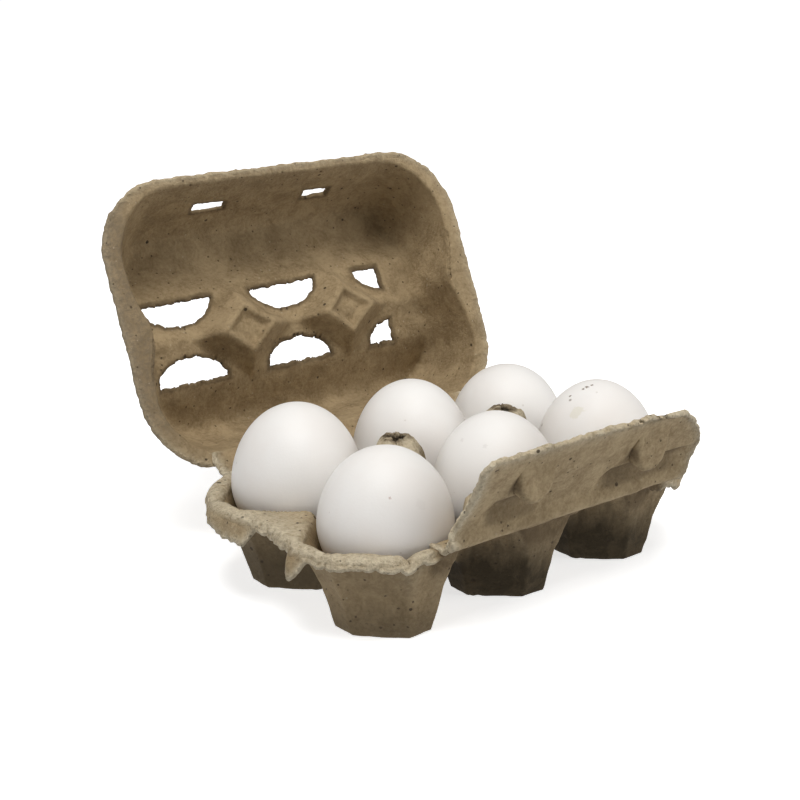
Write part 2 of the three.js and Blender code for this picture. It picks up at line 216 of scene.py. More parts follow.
@dataclass
class Sheet:
    """An open surface of triangles that is cut, ruffled and given a thickness.

    Each point also has its distance from the sheet's torn edge and from the nearest cut opening.
    """

    points: Array
    triangles: Ints
    edge_gap: Array
    cut_gap: Array

    @staticmethod
    def of_grid(grid: Array, gap: Array, closed: bool = False) -> "Sheet":
        """A sheet from rows of points.

        Args:
            grid: Points as rows, columns, xyz; a cell's corners go round facing up.
            gap: Distance of each point from the sheet's edge.
            closed: Whether the last row joins the first.

        Returns:
            The sheet with its points numbered row by row.
        """
        rows, columns = grid.shape[:2]
        index = np.arange(rows * columns).reshape(rows, columns)
        here = index if closed else index[:-1]
        after = np.roll(index, -1, axis=0) if closed else index[1:]
        a, b, c, d = here[:, :-1], after[:, :-1], after[:, 1:], here[:, 1:]
        first = np.stack([a, b, c], -1).reshape(-1, 3)
        second = np.stack([a, c, d], -1).reshape(-1, 3)
        triangles = np.concatenate([first, second])
        flat_gap = gap.reshape(-1)
        return Sheet(grid.reshape(-1, 3), triangles, flat_gap, np.full_like(flat_gap, FAR))

    @staticmethod
    def joined(sheets: Sequence["Sheet"]) -> "Sheet":
        """One sheet of several: points that fall together become one, and flat triangles go."""
        points = np.concatenate([s.points for s in sheets])
        gap = np.concatenate([s.edge_gap for s in sheets])
        cut_gap = np.concatenate([s.cut_gap for s in sheets])
        starts = np.cumsum([0] + [len(s.points) for s in sheets[:-1]])
        triangles = np.concatenate([s.triangles + n for s, n in zip(sheets, starts)])
        near = np.round(points, 3)
        _, first, inverse = np.unique(near, axis=0, return_index=True, return_inverse=True)
        triangles = inverse.reshape(-1)[triangles]
        a, b, c = triangles.T
        kept = triangles[(a != b) & (b != c) & (c != a)]
        return Sheet(points[first], kept, gap[first], cut_gap[first])

    def normals(self) -> Array:
        """Unit normals of the points: the sum of the cross products of the triangles round each."""
        a, b, c = (self.points[self.triangles[:, k]] for k in range(3))
        cross = np.cross(b - a, c - a)
        total = np.zeros_like(self.points)
        for k in range(3):
            np.add.at(total, self.triangles[:, k], cross)
        return total / np.maximum(np.linalg.norm(total, axis=1, keepdims=True), 1e-12)

    def edges(self) -> Ints:
        """The directed edges that only one triangle has."""
        t = self.triangles
        pairs = np.concatenate([t[:, [0, 1]], t[:, [1, 2]], t[:, [2, 0]]])
        count = len(self.points)
        forward = pairs[:, 0] * count + pairs[:, 1]
        backward = pairs[:, 1] * count + pairs[:, 0]
        return pairs[~np.isin(forward, backward)]

    def compact(self) -> "Sheet":
        """The sheet without the points that no triangle uses."""
        used = np.unique(self.triangles)
        number = np.full(len(self.points), -1)
        number[used] = np.arange(len(used))
        triangles = number[self.triangles]
        return Sheet(self.points[used], triangles, self.edge_gap[used], self.cut_gap[used])

    def cut(self, level: Callable[[Array], Array], reach: float) -> "Sheet":
        """Opens the sheet where a function is negative and draws the new edge onto its zero line.

        A triangle goes when the function is negative at its middle. Each new edge point then moves
        against the function's slope in the sheet's plane by the function's value over the slope.

        Args:
            level: Function of points, about a distance in millimetres.
            reach: How far from the zero line an edge point may lie to be drawn in.

        Returns:
            The sheet with the opening.
        """
        middle = self.points[self.triangles].mean(axis=1)
        left = self.triangles[level(middle) > 0.0]
        kept = Sheet(self.points.copy(), left, self.edge_gap, self.cut_gap).compact()
        up = kept.normals()
        rim = np.unique(kept.edges())
        step, least_slope = 0.05, 0.05
        for _ in range(2):
            here = kept.points[rim]
            value = level(here)
            moved = [(level(here + step * axis) - value) / step for axis in np.eye(3)]
            slope = np.stack(moved, axis=1)
            slope -= up[rim] * np.sum(slope * up[rim], axis=1, keepdims=True)
            size = np.maximum(np.sum(slope * slope, axis=1), least_slope)
            near = (np.abs(value) < reach)[:, None]
            kept.points[rim] = here - np.where(near, slope * (value / size)[:, None], 0.0)
        kept.cut_gap = np.minimum(kept.cut_gap, np.abs(level(kept.points)))
        return kept

    def ruffled(self) -> "Thick":
        """The sheet with its thickness and rough pulp surface.

        Upper and lower points stand half the thickness from the sheet along its normals. Round each
        free edge, rings turn from the upper to the lower side about the edge. Then every point
        moves along its own outward direction by layers of noise, with added shreds at the edges.
        How torn or cut a point is falls off as e to the power of minus its gap over the reach.

        Returns:
            The closed mesh, with how torn and how cut each of its points is.
        """
        torn = np.exp(-np.maximum(self.edge_gap, 0.0) / WEAR.torn_reach)
        cut = np.exp(-self.cut_gap / WEAR.cut_reach)
        half = (PULP / 2.0) * (1.0 + WEAR.torn_swell * torn + WEAR.cut_swell * cut)
        up = self.normals()
        edges = self.edges()
        rim = np.unique(edges)
        along = self.points[edges[:, 1]] - self.points[edges[:, 0]]
        side = np.cross(along, up[edges[:, 0]])
        out = np.zeros_like(self.points)
        for k in range(2):
            np.add.at(out, edges[:, k], side)
        out = out[rim] / np.maximum(np.linalg.norm(out[rim], axis=1, keepdims=True), 1e-9)
        rings = WEAR.rings
        turns = [math.pi * k / (rings + 1) for k in range(1, rings + 1)]
        bent = [math.cos(a) * up[rim] + math.sin(a) * out for a in turns]
        directions = np.concatenate([up, *bent, -up])
        count, wide = len(self.points), len(rim)
        owner = np.concatenate([np.arange(count), *([rim] * rings), np.arange(count)])
        points = self.points[owner] + directions * half[owner][:, None]
        slot = np.full(count, -1)
        slot[rim] = np.arange(wide)
        ids = [np.arange(count)]
        ids += [np.where(slot >= 0, count + k * wide + slot, 0) for k in range(rings)]
        ids += [np.arange(count) + count + rings * wide]
        faces = [self.triangles, self.triangles[:, ::-1] + ids[-1][0]]
        a, b = edges.T
        for upper, lower in zip(ids[:-1], ids[1:]):
            faces.append(np.stack([upper[b], upper[a], lower[a]], 1))
            faces.append(np.stack([upper[b], lower[a], lower[b]], 1))
        rough = np.maximum(torn, WEAR.cut_shreds * cut)[owner]
        height = NOISE.layers(points, WEAR.surface)
        shreds = NOISE.layers(points + WEAR.shreds_shift, WEAR.shreds)
        points = points + directions * (height + rough * shreds)[:, None]
        return Thick(points, np.concatenate(faces), torn[owner], cut[owner])


@dataclass
class Thick:
    """A closed mesh with its share of tearing and of cut edge or painted shade at each point."""

    points: Array
    triangles: Ints
    torn: Array
    cut: Array

    def piece(self, name: str) -> bpy.types.Object:
        """Writes the mesh into the scene.

        Args:
            name: Name of the object.

        Returns:
            A smooth-shaded object at the origin whose mesh has the attributes "torn" and "cut".
        """
        mesh = bpy.data.meshes.new(name)
        mesh.vertices.add(len(self.points))
        mesh.vertices.foreach_set("co", (self.points * MILLIMETRE).astype(np.float32).ravel())
        count = len(self.triangles)
        mesh.loops.add(3 * count)
        mesh.loops.foreach_set("vertex_index", self.triangles.astype(np.int32).ravel())
        mesh.polygons.add(count)
        mesh.polygons.foreach_set("loop_start", np.arange(0, 3 * count, 3, dtype=np.int32))
        mesh.update(calc_edges=True)
        mesh.validate()
        mesh.polygons.foreach_set("use_smooth", np.ones(len(mesh.polygons), dtype=bool))
        for label, values in (("torn", self.torn), ("cut", self.cut)):
            layer = mesh.attributes.new(label, "FLOAT", "POINT")
            layer.data.foreach_set("value", values.astype(np.float32))
        piece = bpy.data.objects.new(name, mesh)
        bpy.context.scene.collection.objects.link(piece)
        return piece


# ---------------------------------------------------------------- materials


class Value:
    """A shader socket that takes part in arithmetic."""

    def __init__(self, graph: "Graph", socket: bpy.types.NodeSocket) -> None:
        """Wraps a socket of a graph."""
        self.graph = graph
        self.socket = socket

    def maths(self, operation: str, *terms: Number) -> "Value":
        """A Math node of this kind on the terms in order."""
        return self.graph.node("ShaderNodeMath", {"operation": operation}, dict(enumerate(terms)))

    def __add__(self, other: Number) -> "Value":
        """This plus a number or value."""
        return self.maths("ADD", self, other)

    __radd__ = __add__

    def __mul__(self, other: Number) -> "Value":
        """This times a number or value."""
        return self.maths("MULTIPLY", self, other)

    __rmul__ = __mul__

    def __sub__(self, other: Number) -> "Value":
        """This less a number or value."""
        return self.maths("SUBTRACT", self, other)

    def __rsub__(self, other: Number) -> "Value":
        """A number less this."""
        return self.maths("SUBTRACT", other, self)

    def clamped(self, low: float, high: float) -> "Value":
        """This eased from 0 at low to 1 at high."""
        return self.graph.node(
            "ShaderNodeMapRange",
            {"interpolation_type": "SMOOTHSTEP"},
            {"Value": self, "From Min": low, "From Max": high, "To Min": 0.0, "To Max": 1.0},
        )

    def under(self, edge: float, soft: float) -> "Value":
        """1 where this is under the edge, easing to 0 over the soft width."""
        return self.graph.node(
            "ShaderNodeMapRange",
            {"interpolation_type": "SMOOTHSTEP"},
            {
                "Value": self,
                "From Min": edge,
                "From Max": edge + soft,
                "To Min": 1.0,
                "To Max": 0.0,
            },
        )


class Graph:
    """The node tree of one material."""

    def __init__(self, name: str) -> None:
        """Starts an empty material.

        Args:
            name: Name of the material.
        """
        self.material = bpy.data.materials.new(name)
        self.material.use_nodes = True
        self.tree = self.material.node_tree
        self.tree.nodes.clear()

    def node(
        self,
        kind: str,
        settings: Optional[Dict[str, object]] = None,
        inputs: Optional[Dict[Union[int, str], object]] = None,
        output: Union[int, str] = 0,
    ) -> Value:
        """Adds a node.

        Args:
            kind: Blender's node type.
            settings: Attributes set before the sockets; "stops" sets a ramp's places and colours.
            inputs: Socket index, name or identifier to a number, a colour or a Value.
            output: Output socket to return.

        Returns:
            The chosen output.
        """
        made = self.tree.nodes.new(kind)
        for key, setting in (settings or {}).items():
            if key == "stops":
                ramp = made.color_ramp
                while len(ramp.elements) < len(setting):
                    ramp.elements.new(0.5)
                for stop, (place, colour) in zip(ramp.elements, setting):
                    stop.position = place
                    stop.color = (*colour, 1.0)
            else:
                setattr(made, key, setting)
        for key, given in (inputs or {}).items():
            socket = self.find(made.inputs, key)
            if isinstance(given, Value):
                self.tree.links.new(given.socket, socket)
            elif isinstance(given, tuple) and socket.type == "RGBA":
                socket.default_value = (*given, 1.0)
            else:
                socket.default_value = given
        return Value(self, self.find(made.outputs, output))

    @staticmethod
    def find(sockets: Sequence[bpy.types.NodeSocket], key: Union[int, str]) -> bpy.types.NodeSocket:
        """The socket with this number, identifier or name."""
        if isinstance(key, int):
            return sockets[key]
        exact = [s for s in sockets if s.identifier == key]
        return (exact or [s for s in sockets if s.name == key])[0]

    def noise(
        self,
        size: float,
        detail: float = 2.0,
        rough: float = 0.5,
        warp: float = 0.0,
        at: Optional[Value] = None,
    ) -> Value:
        """Noise of values about 0.5.

        Args:
            size: Width of a lump in metres.
            detail: Number of finer octaves.
            rough: Share that each finer octave keeps.
            warp: How far the pattern is twisted.
            at: Vector that it reads, or None for the Object coordinates.

        Returns:
            The noise.
        """
        return self.node(
            "ShaderNodeTexNoise",
            {"noise_dimensions": "3D"},
            {
                "Vector": at or self.place(),
                "Scale": 1.0 / size,
                "Detail": detail,
                "Roughness": rough,
                "Distortion": warp,
            },
        )

    def cells(self, size: float, output: str = "Distance") -> Value:
        """Distance to the nearest seed, or the seed's colour, of cells this many metres apart."""
        inputs = {"Vector": self.place(), "Scale": 1.0 / size}
        return self.node("ShaderNodeTexVoronoi", {"feature": "F1"}, inputs, output)

    def attribute(self, name: str) -> Value:
        """A number kept at the mesh's points."""
        return self.node("ShaderNodeAttribute", {"attribute_name": name}, {}, "Fac")

    def bump(self, strength: float, distance: float, height: Value) -> Value:
        """A Bump node's normal, for relief that goes as deep as the distance in metres."""
        inputs = {"Strength": strength, "Distance": distance, "Height": height}
        return self.node("ShaderNodeBump", {}, inputs, "Normal")

    def place(self) -> Value:
        """Object coordinates, which are the row frame's metres."""
        if not hasattr(self, "_place"):
            self._place = self.node("ShaderNodeTexCoord", output="Object")
        return self._place

    def mix(self, share: Number, first: object, second: object, blend: str = "MIX") -> Value:
        """Colours mixed by a share."""
        return self.node(
            "ShaderNodeMix",
            {"data_type": "RGBA", "blend_type": blend},
            {"Factor_Float": share, "A_Color": first, "B_Color": second},
            "Result_Color",
        )

    def specks(self, size: float, width: float, rare: float) -> Value:
        """Scattered ragged spots.

        A spot lies near a cell's seed, and only in the cells whose own draw is over a share.

        Args:
            size: Spacing of the seeds in metres.
            width: Spot radius as a share of the spacing.
            rare: Share of the cells without a spot.

        Returns:
            1 in a spot and 0 outside.
        """
        ragged = self.cells(size) + 0.35 * width * (self.noise(size * 0.22, 1.0) - 0.5) * 4.0
        seed = self.cells(size, "Color")
        draw = self.node("ShaderNodeSeparateColor", inputs={0: seed}, output="Red")
        return ragged.under(width * 0.75, width * 0.5) * draw.clamped(rare, rare + 0.05)

    def finish(
        self, colour: object, roughness: Number, normal: Value, specular: float
    ) -> bpy.types.Material:
        """Ends the graph in a Principled shader.

        Args:
            colour: Base colour.
            roughness: Roughness.
            normal: Output of a Bump node.
            specular: Specular level, the same all over the surface.

        Returns:
            The material.
        """
        inputs = {
            "Base Color": colour,
            "Roughness": roughness,
            "Normal": normal,
            "Specular IOR Level": specular,
        }
        shader = self.node("ShaderNodeBsdfPrincipled", {}, inputs, "BSDF")
        out = self.tree.nodes.new("ShaderNodeOutputMaterial")
        self.tree.links.new(shader.socket, out.inputs["Surface"])
        return self.material


@dataclass(frozen=True)
class PulpFinish:
    """Recycled grey-brown paper pulp: mottled, flecked and fibrous, paler where it is torn.

    Painted shade darkens the feet, the cut edges, the creases and the flap's pockets.
    Lengths are in metres, the Object coordinates' own unit.
    """

    name: str = "moulded_pulp"
    dark: Colour = (0.228, 0.161, 0.083)
    light: Colour = (0.395, 0.293, 0.165)
    torn: Colour = (0.76, 0.66, 0.48)
    grime: Colour = (0.13, 0.1, 0.068)
    fleck: Colour = (0.5, 0.42, 0.3)
    speck: Colour = (0.05, 0.034, 0.02)
    # painted shade on the feet
    shade_on_feet: Colour = (0.05, 0.036, 0.018)
    # painted shade at cut edges, in the flap's pockets and in the creases
    edge_recess_shade: Colour = (0.115, 0.078, 0.04)
    pitch: float = 0.048
    # heights where the painted shade on the feet fades out, high up and low down
    high_shade_reach: Tuple[float, float] = (0.009, 0.027)
    low_shade_reach: Tuple[float, float] = (0.001, 0.016)
    relief_depth: float = 0.0011

    def painted_foot_shade(self, g: Graph, place: Dict[str, Value], streak: Value) -> Value:
        """How much painted shade darkens the feet.

        All round they are shaded low down. Every foot but the front left one is also shaded higher
        up, to a line that streaks upwards and sinks across the foot, from 0 to 1 in its pitch.

        Args:
            g: Graph to build in.
            place: The X, Y and Z of the Object coordinates.
            streak: Noise drawn out upwards.

        Returns:
            A share from 0 to 1.
        """
        x, y, z = place["X"], place["Y"], place["Z"]
        right = x.clamped(-0.027, -0.021)
        rear = y.clamped(-0.033, -0.027)
        which = right.maths("MAXIMUM", right, rear * 0.72)
        columns = (x + self.pitch / 2.0) * (1.0 / self.pitch)
        across = columns.maths("FRACT", columns)
        high = (z + (streak - 0.5) * 0.018 + across * 0.01).under(*self.high_shade_reach)
        low = (z + (streak - 0.5) * 0.01).under(*self.low_shade_reach) * 0.5
        shares = {0: high * which * (1.12 - across * across * 0.42), 1: low}
        return g.node("ShaderNodeMath", {"operation": "MAXIMUM", "use_clamp": True}, shares)

    def material(self) -> bpy.types.Material:
        """Builds the finish.

        Returns:
            A material that reads Object coordinates and the attributes "torn" and "cut".
        """
        g = Graph(self.name)
        cloud = g.noise(0.032, 3.0, 0.6, 0.4)
        mottle = g.noise(0.0075, 4.0, 0.62, 0.6)
        grain = g.noise(0.0013, 3.0, 0.65)
        fibre = g.noise(0.0034, 5.0, 0.75, 2.2)
        frizz = g.noise(0.0021, 4.0, 0.7, 0.5)
        torn, cut = g.attribute("torn"), g.attribute("cut")
        at = {0: g.place()}
        place = {axis: g.node("ShaderNodeSeparateXYZ", inputs=at, output=axis) for axis in "XYZ"}
        upwards = {0: g.place(), 1: (1.0, 1.0, 0.12)}
        drawn = g.node("ShaderNodeVectorMath", {"operation": "MULTIPLY"}, upwards, "Vector")
        streak = g.noise(0.0045, 3.0, 0.6, 0.3, drawn)

        tone = cloud * 0.18 + mottle * 0.4 + grain * 0.28 + fibre * 0.14
        colour = g.mix(tone.clamped(0.36, 0.62), self.dark, self.light)
        pale = 0.32 + grain.clamped(0.32, 0.6) * 0.3 + frizz.clamped(0.36, 0.6) * 0.4
        colour = g.mix(torn * pale, colour, self.torn)
        near_flange = place["X"].under(-0.072, 0.008) * place["Z"].clamped(0.036, 0.05)
        handled = near_flange * (0.25 + 0.4 * grain.clamped(0.35, 0.65))
        colour = g.mix(handled, colour, self.grime)
        colour = g.mix(g.specks(0.0034, 0.1, 0.62) * 0.45, colour, self.fleck)
        # Painted shade: the feet are darkened, all but the front left one high up as well.
        foot_shading = self.painted_foot_shade(g, place, streak) * (0.88 + 0.16 * mottle.clamped(0.35, 0.62))
        colour = g.mix(foot_shading, colour, self.shade_on_feet)
        small, large = g.specks(0.0031, 0.125, 0.5), g.specks(0.0083, 0.075, 0.45)
        colour = g.mix(small * 0.7 + large * 0.85, colour, self.speck)
        # Painted shade: the "cut" attribute darkens cut edges, the flap's pockets and the creases.
        edge_recess_shading = cut.clamped(0.3, 1.0) * (0.35 + mottle.clamped(0.3, 0.6) * 0.5)
        colour = g.mix(edge_recess_shading, colour, self.edge_recess_shade)

        relief = mottle * 0.5 + fibre * 0.45 + grain * 0.42 - (small + large) * 0.35
        relief = relief + torn * (frizz * 2.6 + fibre * 0.5 + grain * 0.9)
        bump = g.bump(0.8, self.relief_depth, relief)
        return g.finish(colour, 0.86 + 0.1 * mottle, bump, 0.25)


@dataclass(frozen=True)
class Mark:
    """A spot staining an egg: its place and radius in millimetres, its colour and its strength."""

    spot: Tuple[float, float, float]
    radius: float
    colour: Colour
    strength: float = 0.8


@dataclass(frozen=True)
class ShellFinish:
    """White eggshell: satin, faintly mottled and pored, with the marks it has picked up."""

    name: str
    marks: Tuple[Mark, ...] = ()
    white: Colour = (0.87, 0.845, 0.81)
    warm: Colour = (0.83, 0.785, 0.74)
    freckle: Colour = (0.55, 0.49, 0.42)
    relief_depth: float = 0.00012

    def material(self) -> bpy.types.Material:
        """Builds the finish.

        Returns:
            A material that reads Object coordinates.
        """
        g = Graph(self.name)
        cloud = g.noise(0.021, 3.0, 0.55, 0.3)
        pores = g.noise(0.0009, 2.0, 0.6)
        colour = g.mix(cloud.clamped(0.35, 0.7) * 0.6, self.white, self.warm)
        colour = g.mix(g.specks(0.0052, 0.07, 0.75) * 0.35, colour, self.freckle)
        for mark in self.marks:
            radius = mark.radius * MILLIMETRE
            ends = {0: g.place(), 1: tuple(v * MILLIMETRE for v in mark.spot)}
            away = g.node("ShaderNodeVectorMath", {"operation": "DISTANCE"}, ends, "Value")
            ragged = away * (1.0 / radius) + (g.noise(radius * 0.7, 2.0) - 0.5) * 2.4
            colour = g.mix(ragged.under(0.75, 0.5) * mark.strength, colour, mark.colour)
        bump = g.bump(0.35, self.relief_depth, pores + cloud)
        return g.finish(colour, 0.5 + 0.08 * cloud, bump, 0.4)


# ---------------------------------------------------------------- tray


@dataclass
class Tray:
    """The lower half: six cups with octagonal feet, two centre posts and a torn, curled rim."""

    pitch: float = 48.0
    foot_side: float = 17.4
    foot_diagonal: float = 15.4
    foot_flat: float = 15.6
    wall_knee: float = 21.6
    wall_top: float = 28.5
    wall_steep: float = 3.7
    wall_flare: float = 2.15
    post_steep: float = 6.0
    front_steep: float = 4.2
    fillet: float = 2.2
    arch_softness: float = 28.0
    arch_top_softness: float = 5.0
    arch_heights: Tuple[float, float] = (16.0, 32.0)
    rim_under: float = 30.8
    low_post_y: float = -38.5
    low_post_rise: float = 8.5
    post_under: float = 47.6
    post_dome: float = 3.4
    post_radius: float = 6.0
    post_softness: float = 8.0
    post_hole: float = 3.5
    post_torn_from: float = 44.0
    rim_x: float = 78.0
    rim_y: float = 48.9
    rim_corner: float = 26.0
    rim_waist: float = 2.0
    rim_reach: float = 60.0
    hem_length: float = 2.0
    hem_waver: Octaves = ((9.0, 1.3), (3.5, 1.1), (1.8, 0.6))
    hem_turns: Tuple[float, float] = (25.0, 62.0)
    shred_y: float = -21.0
    directions: int = 24
    floor_rings: int = 6
    rings: int = 33
    hem_rings: int = 5
    nodes: Tuple[str, ...] = ("tray",)

    @property
    def half(self) -> float:
        """Half the spacing of the cups."""
        return self.pitch / 2.0

    def octagon(self, x: Array, y: Array) -> Array:
        """Half-width of the octagon about a cup through a point.

        It is the largest of |x|, |y| and the diagonal, scaled to the foot's own diagonal.
        """
        ax, ay = np.abs(x), np.abs(y)
        diagonal = (ax + ay) / math.sqrt(2.0) * (self.foot_side / self.foot_diagonal)
        return np.maximum(np.maximum(ax, ay), diagonal)

    def cup_height(self, x: Array, y: Array, outward: Array) -> Array:
        """Underside of one cup.

        By octagon width it is a flat foot, a steep wall, a flared wall and then the post's wall,
        each a straight slope. The outer side also rises with the distance past the foot.

        Args:
            x: Place from the cup's middle along X.
            y: Place from the cup's middle along Y.
            outward: Sign of Y on the cup's outer side.

        Returns:
            Height over the floor.
        """
        width = self.octagon(x, y)
        knee = (self.wall_knee - self.foot_side) * self.wall_steep
        top = knee + (self.wall_top - self.wall_knee) * self.wall_flare
        wall = (width - self.foot_side) * self.wall_steep
        flare = knee + (width - self.wall_knee) * self.wall_flare
        rise = np.where(width < self.wall_knee, wall, flare)
        post = top + (width - self.wall_top) * self.post_steep
        rise = np.where(width < self.wall_top, rise, post)
        rise = np.maximum(rise, (y * outward - self.foot_side) * self.front_steep)
        return soft_max(np.zeros_like(rise), rise, self.fillet)

    def by_post(self, x: Array, y: Array) -> Array:
        """Whether a point lies in the square round a centre post."""
        return (np.abs(np.abs(x) - self.half) < self.half) & (np.abs(y) < self.half)

    def post_distance(self, x: Array, y: Array) -> Array:
        """Distance from the middle of the nearer centre post."""
        return np.hypot(np.abs(x) - self.half, y)

    def cap_height(self, x: Array, y: Array) -> Array:
        """Height of the rim, of the domed centre posts and of the low posts between front cups."""
        bumps = bell((np.abs(x) - self.half) / 8.0) * bell((y - self.low_post_y) / 5.5)
        raised = self.low_post_rise * bumps
        low = self.rim_under + np.where(np.abs(x) < self.pitch, raised, 0.0)
        dome = self.post_dome * (1.0 - self.post_distance(x, y) / self.post_radius)
        return np.where(self.by_post(x, y), self.post_under + np.clip(dome, -5.0, 2.0), low)

    def softness(self, z: Array) -> Array:
        """How round the arch between two cups is at a height: less so towards its top."""
        gone = self.arch_softness - self.arch_top_softness
        return self.arch_softness - gone * smoothstep(*self.arch_heights, z)

    def underside(self, x: Array, y: Array) -> Array:
        """Height of the underside: the softened least of the four nearest cups and the cap."""
        column = np.clip(np.round(x / self.pitch), -1, 1) * self.pitch
        beside = column + np.where(x > column, self.pitch, -self.pitch)
        row = np.where(y > 0, self.half, -self.half)

        def across(centre: Array) -> Array:
            """The softened least of the two cups of one column."""
            near = self.cup_height(x - centre, y - row, np.sign(row))
            far = self.cup_height(x - centre, y + row, -np.sign(row))
            return soft_min(near, far, self.softness(near))

        own = across(column)
        both = soft_min(own, across(beside), self.softness(own))
        total = np.where(np.abs(beside) > self.pitch + 1.0, own, both)
        radius = np.where(self.by_post(x, y), self.post_softness, self.fillet)
        return soft_min(total, self.cap_height(x, y), radius)

    def rim_distance(self, x: Array, y: Array) -> Array:
        """Distance outside the rim's edge, a rounded rectangle drawn in at its two ends."""
        waist = self.rim_waist * bell(y / 15.0) * smoothstep(50.0, 70.0, np.abs(x))
        return rounded_box(x, y, self.rim_x, self.rim_y, self.rim_corner) + waist

    def hem(self, x: Array, y: Array) -> Array:
        """Length of the lip that curls down past the rim.

        It is short where the flap and the lid join, long at the near end's rear corner, and longest
        in one hanging shred.
        """
        flat = np.stack([x, y, np.zeros_like(x)], -1)
        length = self.hem_length + NOISE.layers(flat, self.hem_waver)
        joined = smoothstep(49.0, 44.0, np.abs(x)) * smoothstep(40.0, 46.0, np.abs(y))
        length = length * (1.0 - 0.75 * joined)
        near = smoothstep(-62.0, -72.0, x)
        length += near * 6.0 * smoothstep(7.0, 10.0, y) * smoothstep(36.0, 24.0, y)
        length += near * 7.5 * bell((y - self.shred_y) / 2.6)
        return np.maximum(length, 0.4)

    def rays(self, end_x: float, end_y: float) -> Tuple[Array, Array]:
        """Where the rays from one cup's middle aim, in order round the cup.

        Each quarter's rays aim at points evenly spaced on the two sides of its own rectangle.

        Args:
            end_x: Sign of the cup's X, 0 in the middle column.
            end_y: Sign of the cup's Y.

        Returns:
            The aims from the cup's middle, and which lie on a line shared with another cup.
        """
        targets, shared = [], []
        share = np.arange(self.directions + 1) / self.directions
        quarters = ((1, 1, True), (-1, 1, False), (-1, -1, True), (1, -1, False))
        for sx, sy, along_x in quarters:
            out_x, out_y = sx == end_x, sy == end_y
            end_side = self.rim_x - self.rim_waist - self.pitch
            qx = sx * (end_side if out_x and not out_y else self.half)
            qy = sy * (self.rim_y - self.half if out_y and not out_x else self.half)
            on_x = np.stack([np.full_like(share, qx), qy * share], -1)
            on_y = np.stack([qx * share[:-1], np.full_like(share[:-1], qy)], -1)[::-1]
            line = np.concatenate([on_x, on_y])
            own = np.repeat([not out_x, not out_y], [len(on_x), len(on_y)])
            if not along_x:
                line, own = line[::-1], own[::-1]
            targets.append(line[:-1])
            shared.append(own[:-1])
        target, inner = np.concatenate(targets), np.concatenate(shared)
        for axis, end in enumerate((end_x, end_y)):
            side = target[:, axis]
            inner |= (np.abs(np.abs(side) - self.half) < 1e-6) & (np.sign(side) != end)
        return target, inner

    def to_rim(self, cx: float, cy: float, ux: Array, uy: Array) -> Array:
        """How far rays of this direction run from a cup's middle to the rim.

        The span that holds the rim is halved until it is far below a micrometre.
        """
        low, high = np.zeros_like(ux), np.full_like(ux, self.rim_reach)
        for _ in range(40):
            mid = (low + high) / 2.0
            inside = self.rim_distance(cx + ux * mid, cy + uy * mid) < 0
            low, high = np.where(inside, mid, low), np.where(inside, high, mid)
        return low

    def off_rim(self, at: Array) -> Array:
        """Unit directions straight out from the rim: the slope of its distance over a short way."""
        x, y = at[:, 0], at[:, 1]
        way = 0.3
        slope_x = self.rim_distance(x + way, y) - self.rim_distance(x - way, y)
        slope_y = self.rim_distance(x, y + way) - self.rim_distance(x, y - way)
        away = np.stack([slope_x, slope_y], -1)
        return away / np.maximum(np.linalg.norm(away, axis=1, keepdims=True), 1e-9)

    def hem_strip(self, edge: Array) -> Tuple[Sheet, Array]:
        """The lip along one cup's part of the rim, in small equal steps that turn down.

        Args:
            edge: The last point of each ray.

        Returns:
            The strip past those points that lie on the rim, and the lip's length at each point.
        """
        steps = np.minimum(1.0, np.arange(self.hem_rings) / 3.0)
        turns = np.radians(self.hem_turns[0] + self.hem_turns[1] * steps)
        out = np.concatenate([[0.0], np.cumsum(np.cos(turns))]) / self.hem_rings
        down = np.concatenate([[0.0], np.cumsum(np.sin(turns))]) / self.hem_rings
        away = self.off_rim(edge)
        size = self.hem(edge[:, 0], edge[:, 1])[:, None]
        x = edge[:, :1] + away[:, :1] * out * size
        y = edge[:, 1:2] + away[:, 1:] * out * size
        z = edge[:, 2:] - down * size
        gap = size * np.linspace(1.0, 0.0, self.hem_rings + 1)
        strip = Sheet.of_grid(np.stack([x, y, z], -1), gap, closed=True)
        on_rim = np.abs(self.rim_distance(edge[:, 0], edge[:, 1])) < 0.05
        kept = np.repeat(on_rim & np.roll(on_rim, -1), self.hem_rings)
        strip.triangles = strip.triangles[np.concatenate([kept, kept])]
        return strip.compact(), size

    def cell(self, cx: float, cy: float) -> List[Sheet]:
        """One cup's share of the sheet.

        Rays run from the cup's middle to its share of the rim or of its neighbours' lines. Points
        lie on each ray evenly by the length of the wall's own profile.

        Args:
            cx: Cup middle along X.
            cy: Cup middle along Y, from the tray's middle.

        Returns:
            The cup and the lip along its part of the rim, both facing up.
        """
        target, inner = self.rays(np.sign(cx), np.sign(cy))
        length = np.linalg.norm(target, axis=1)
        ux, uy = (target / length[:, None]).T
        reach = np.where(inner, length, self.to_rim(cx, cy, ux, uy))
        start = self.foot_flat / self.octagon(ux, uy)
        ux, uy = ux[:, None], uy[:, None]
        span = start[:, None] + (reach - start)[:, None] * np.linspace(0.0, 1.0, PROFILE_STEPS)
        z = self.underside(cx + ux * span, cy + uy * span)
        wall = evenly(span, [np.diff(span, axis=1), np.diff(z, axis=1)], self.rings)
        floor = start[:, None] * np.linspace(0.02, 1.0, self.floor_rings)[:-1]
        radii = np.concatenate([np.zeros_like(start)[:, None], floor, wall], axis=1)
        x, y = cx + ux * radii, cy + uy * radii
        grid = np.stack([x, y, self.underside(x, y)], -1)
        strip, size = self.hem_strip(grid[:, -1])
        gap = np.maximum(-self.rim_distance(x, y), 0.0) + size
        sheets = [Sheet.of_grid(grid, gap, closed=True), strip]
        for sheet in sheets:
            sheet.triangles = sheet.triangles[:, ::-1]
        return sheets

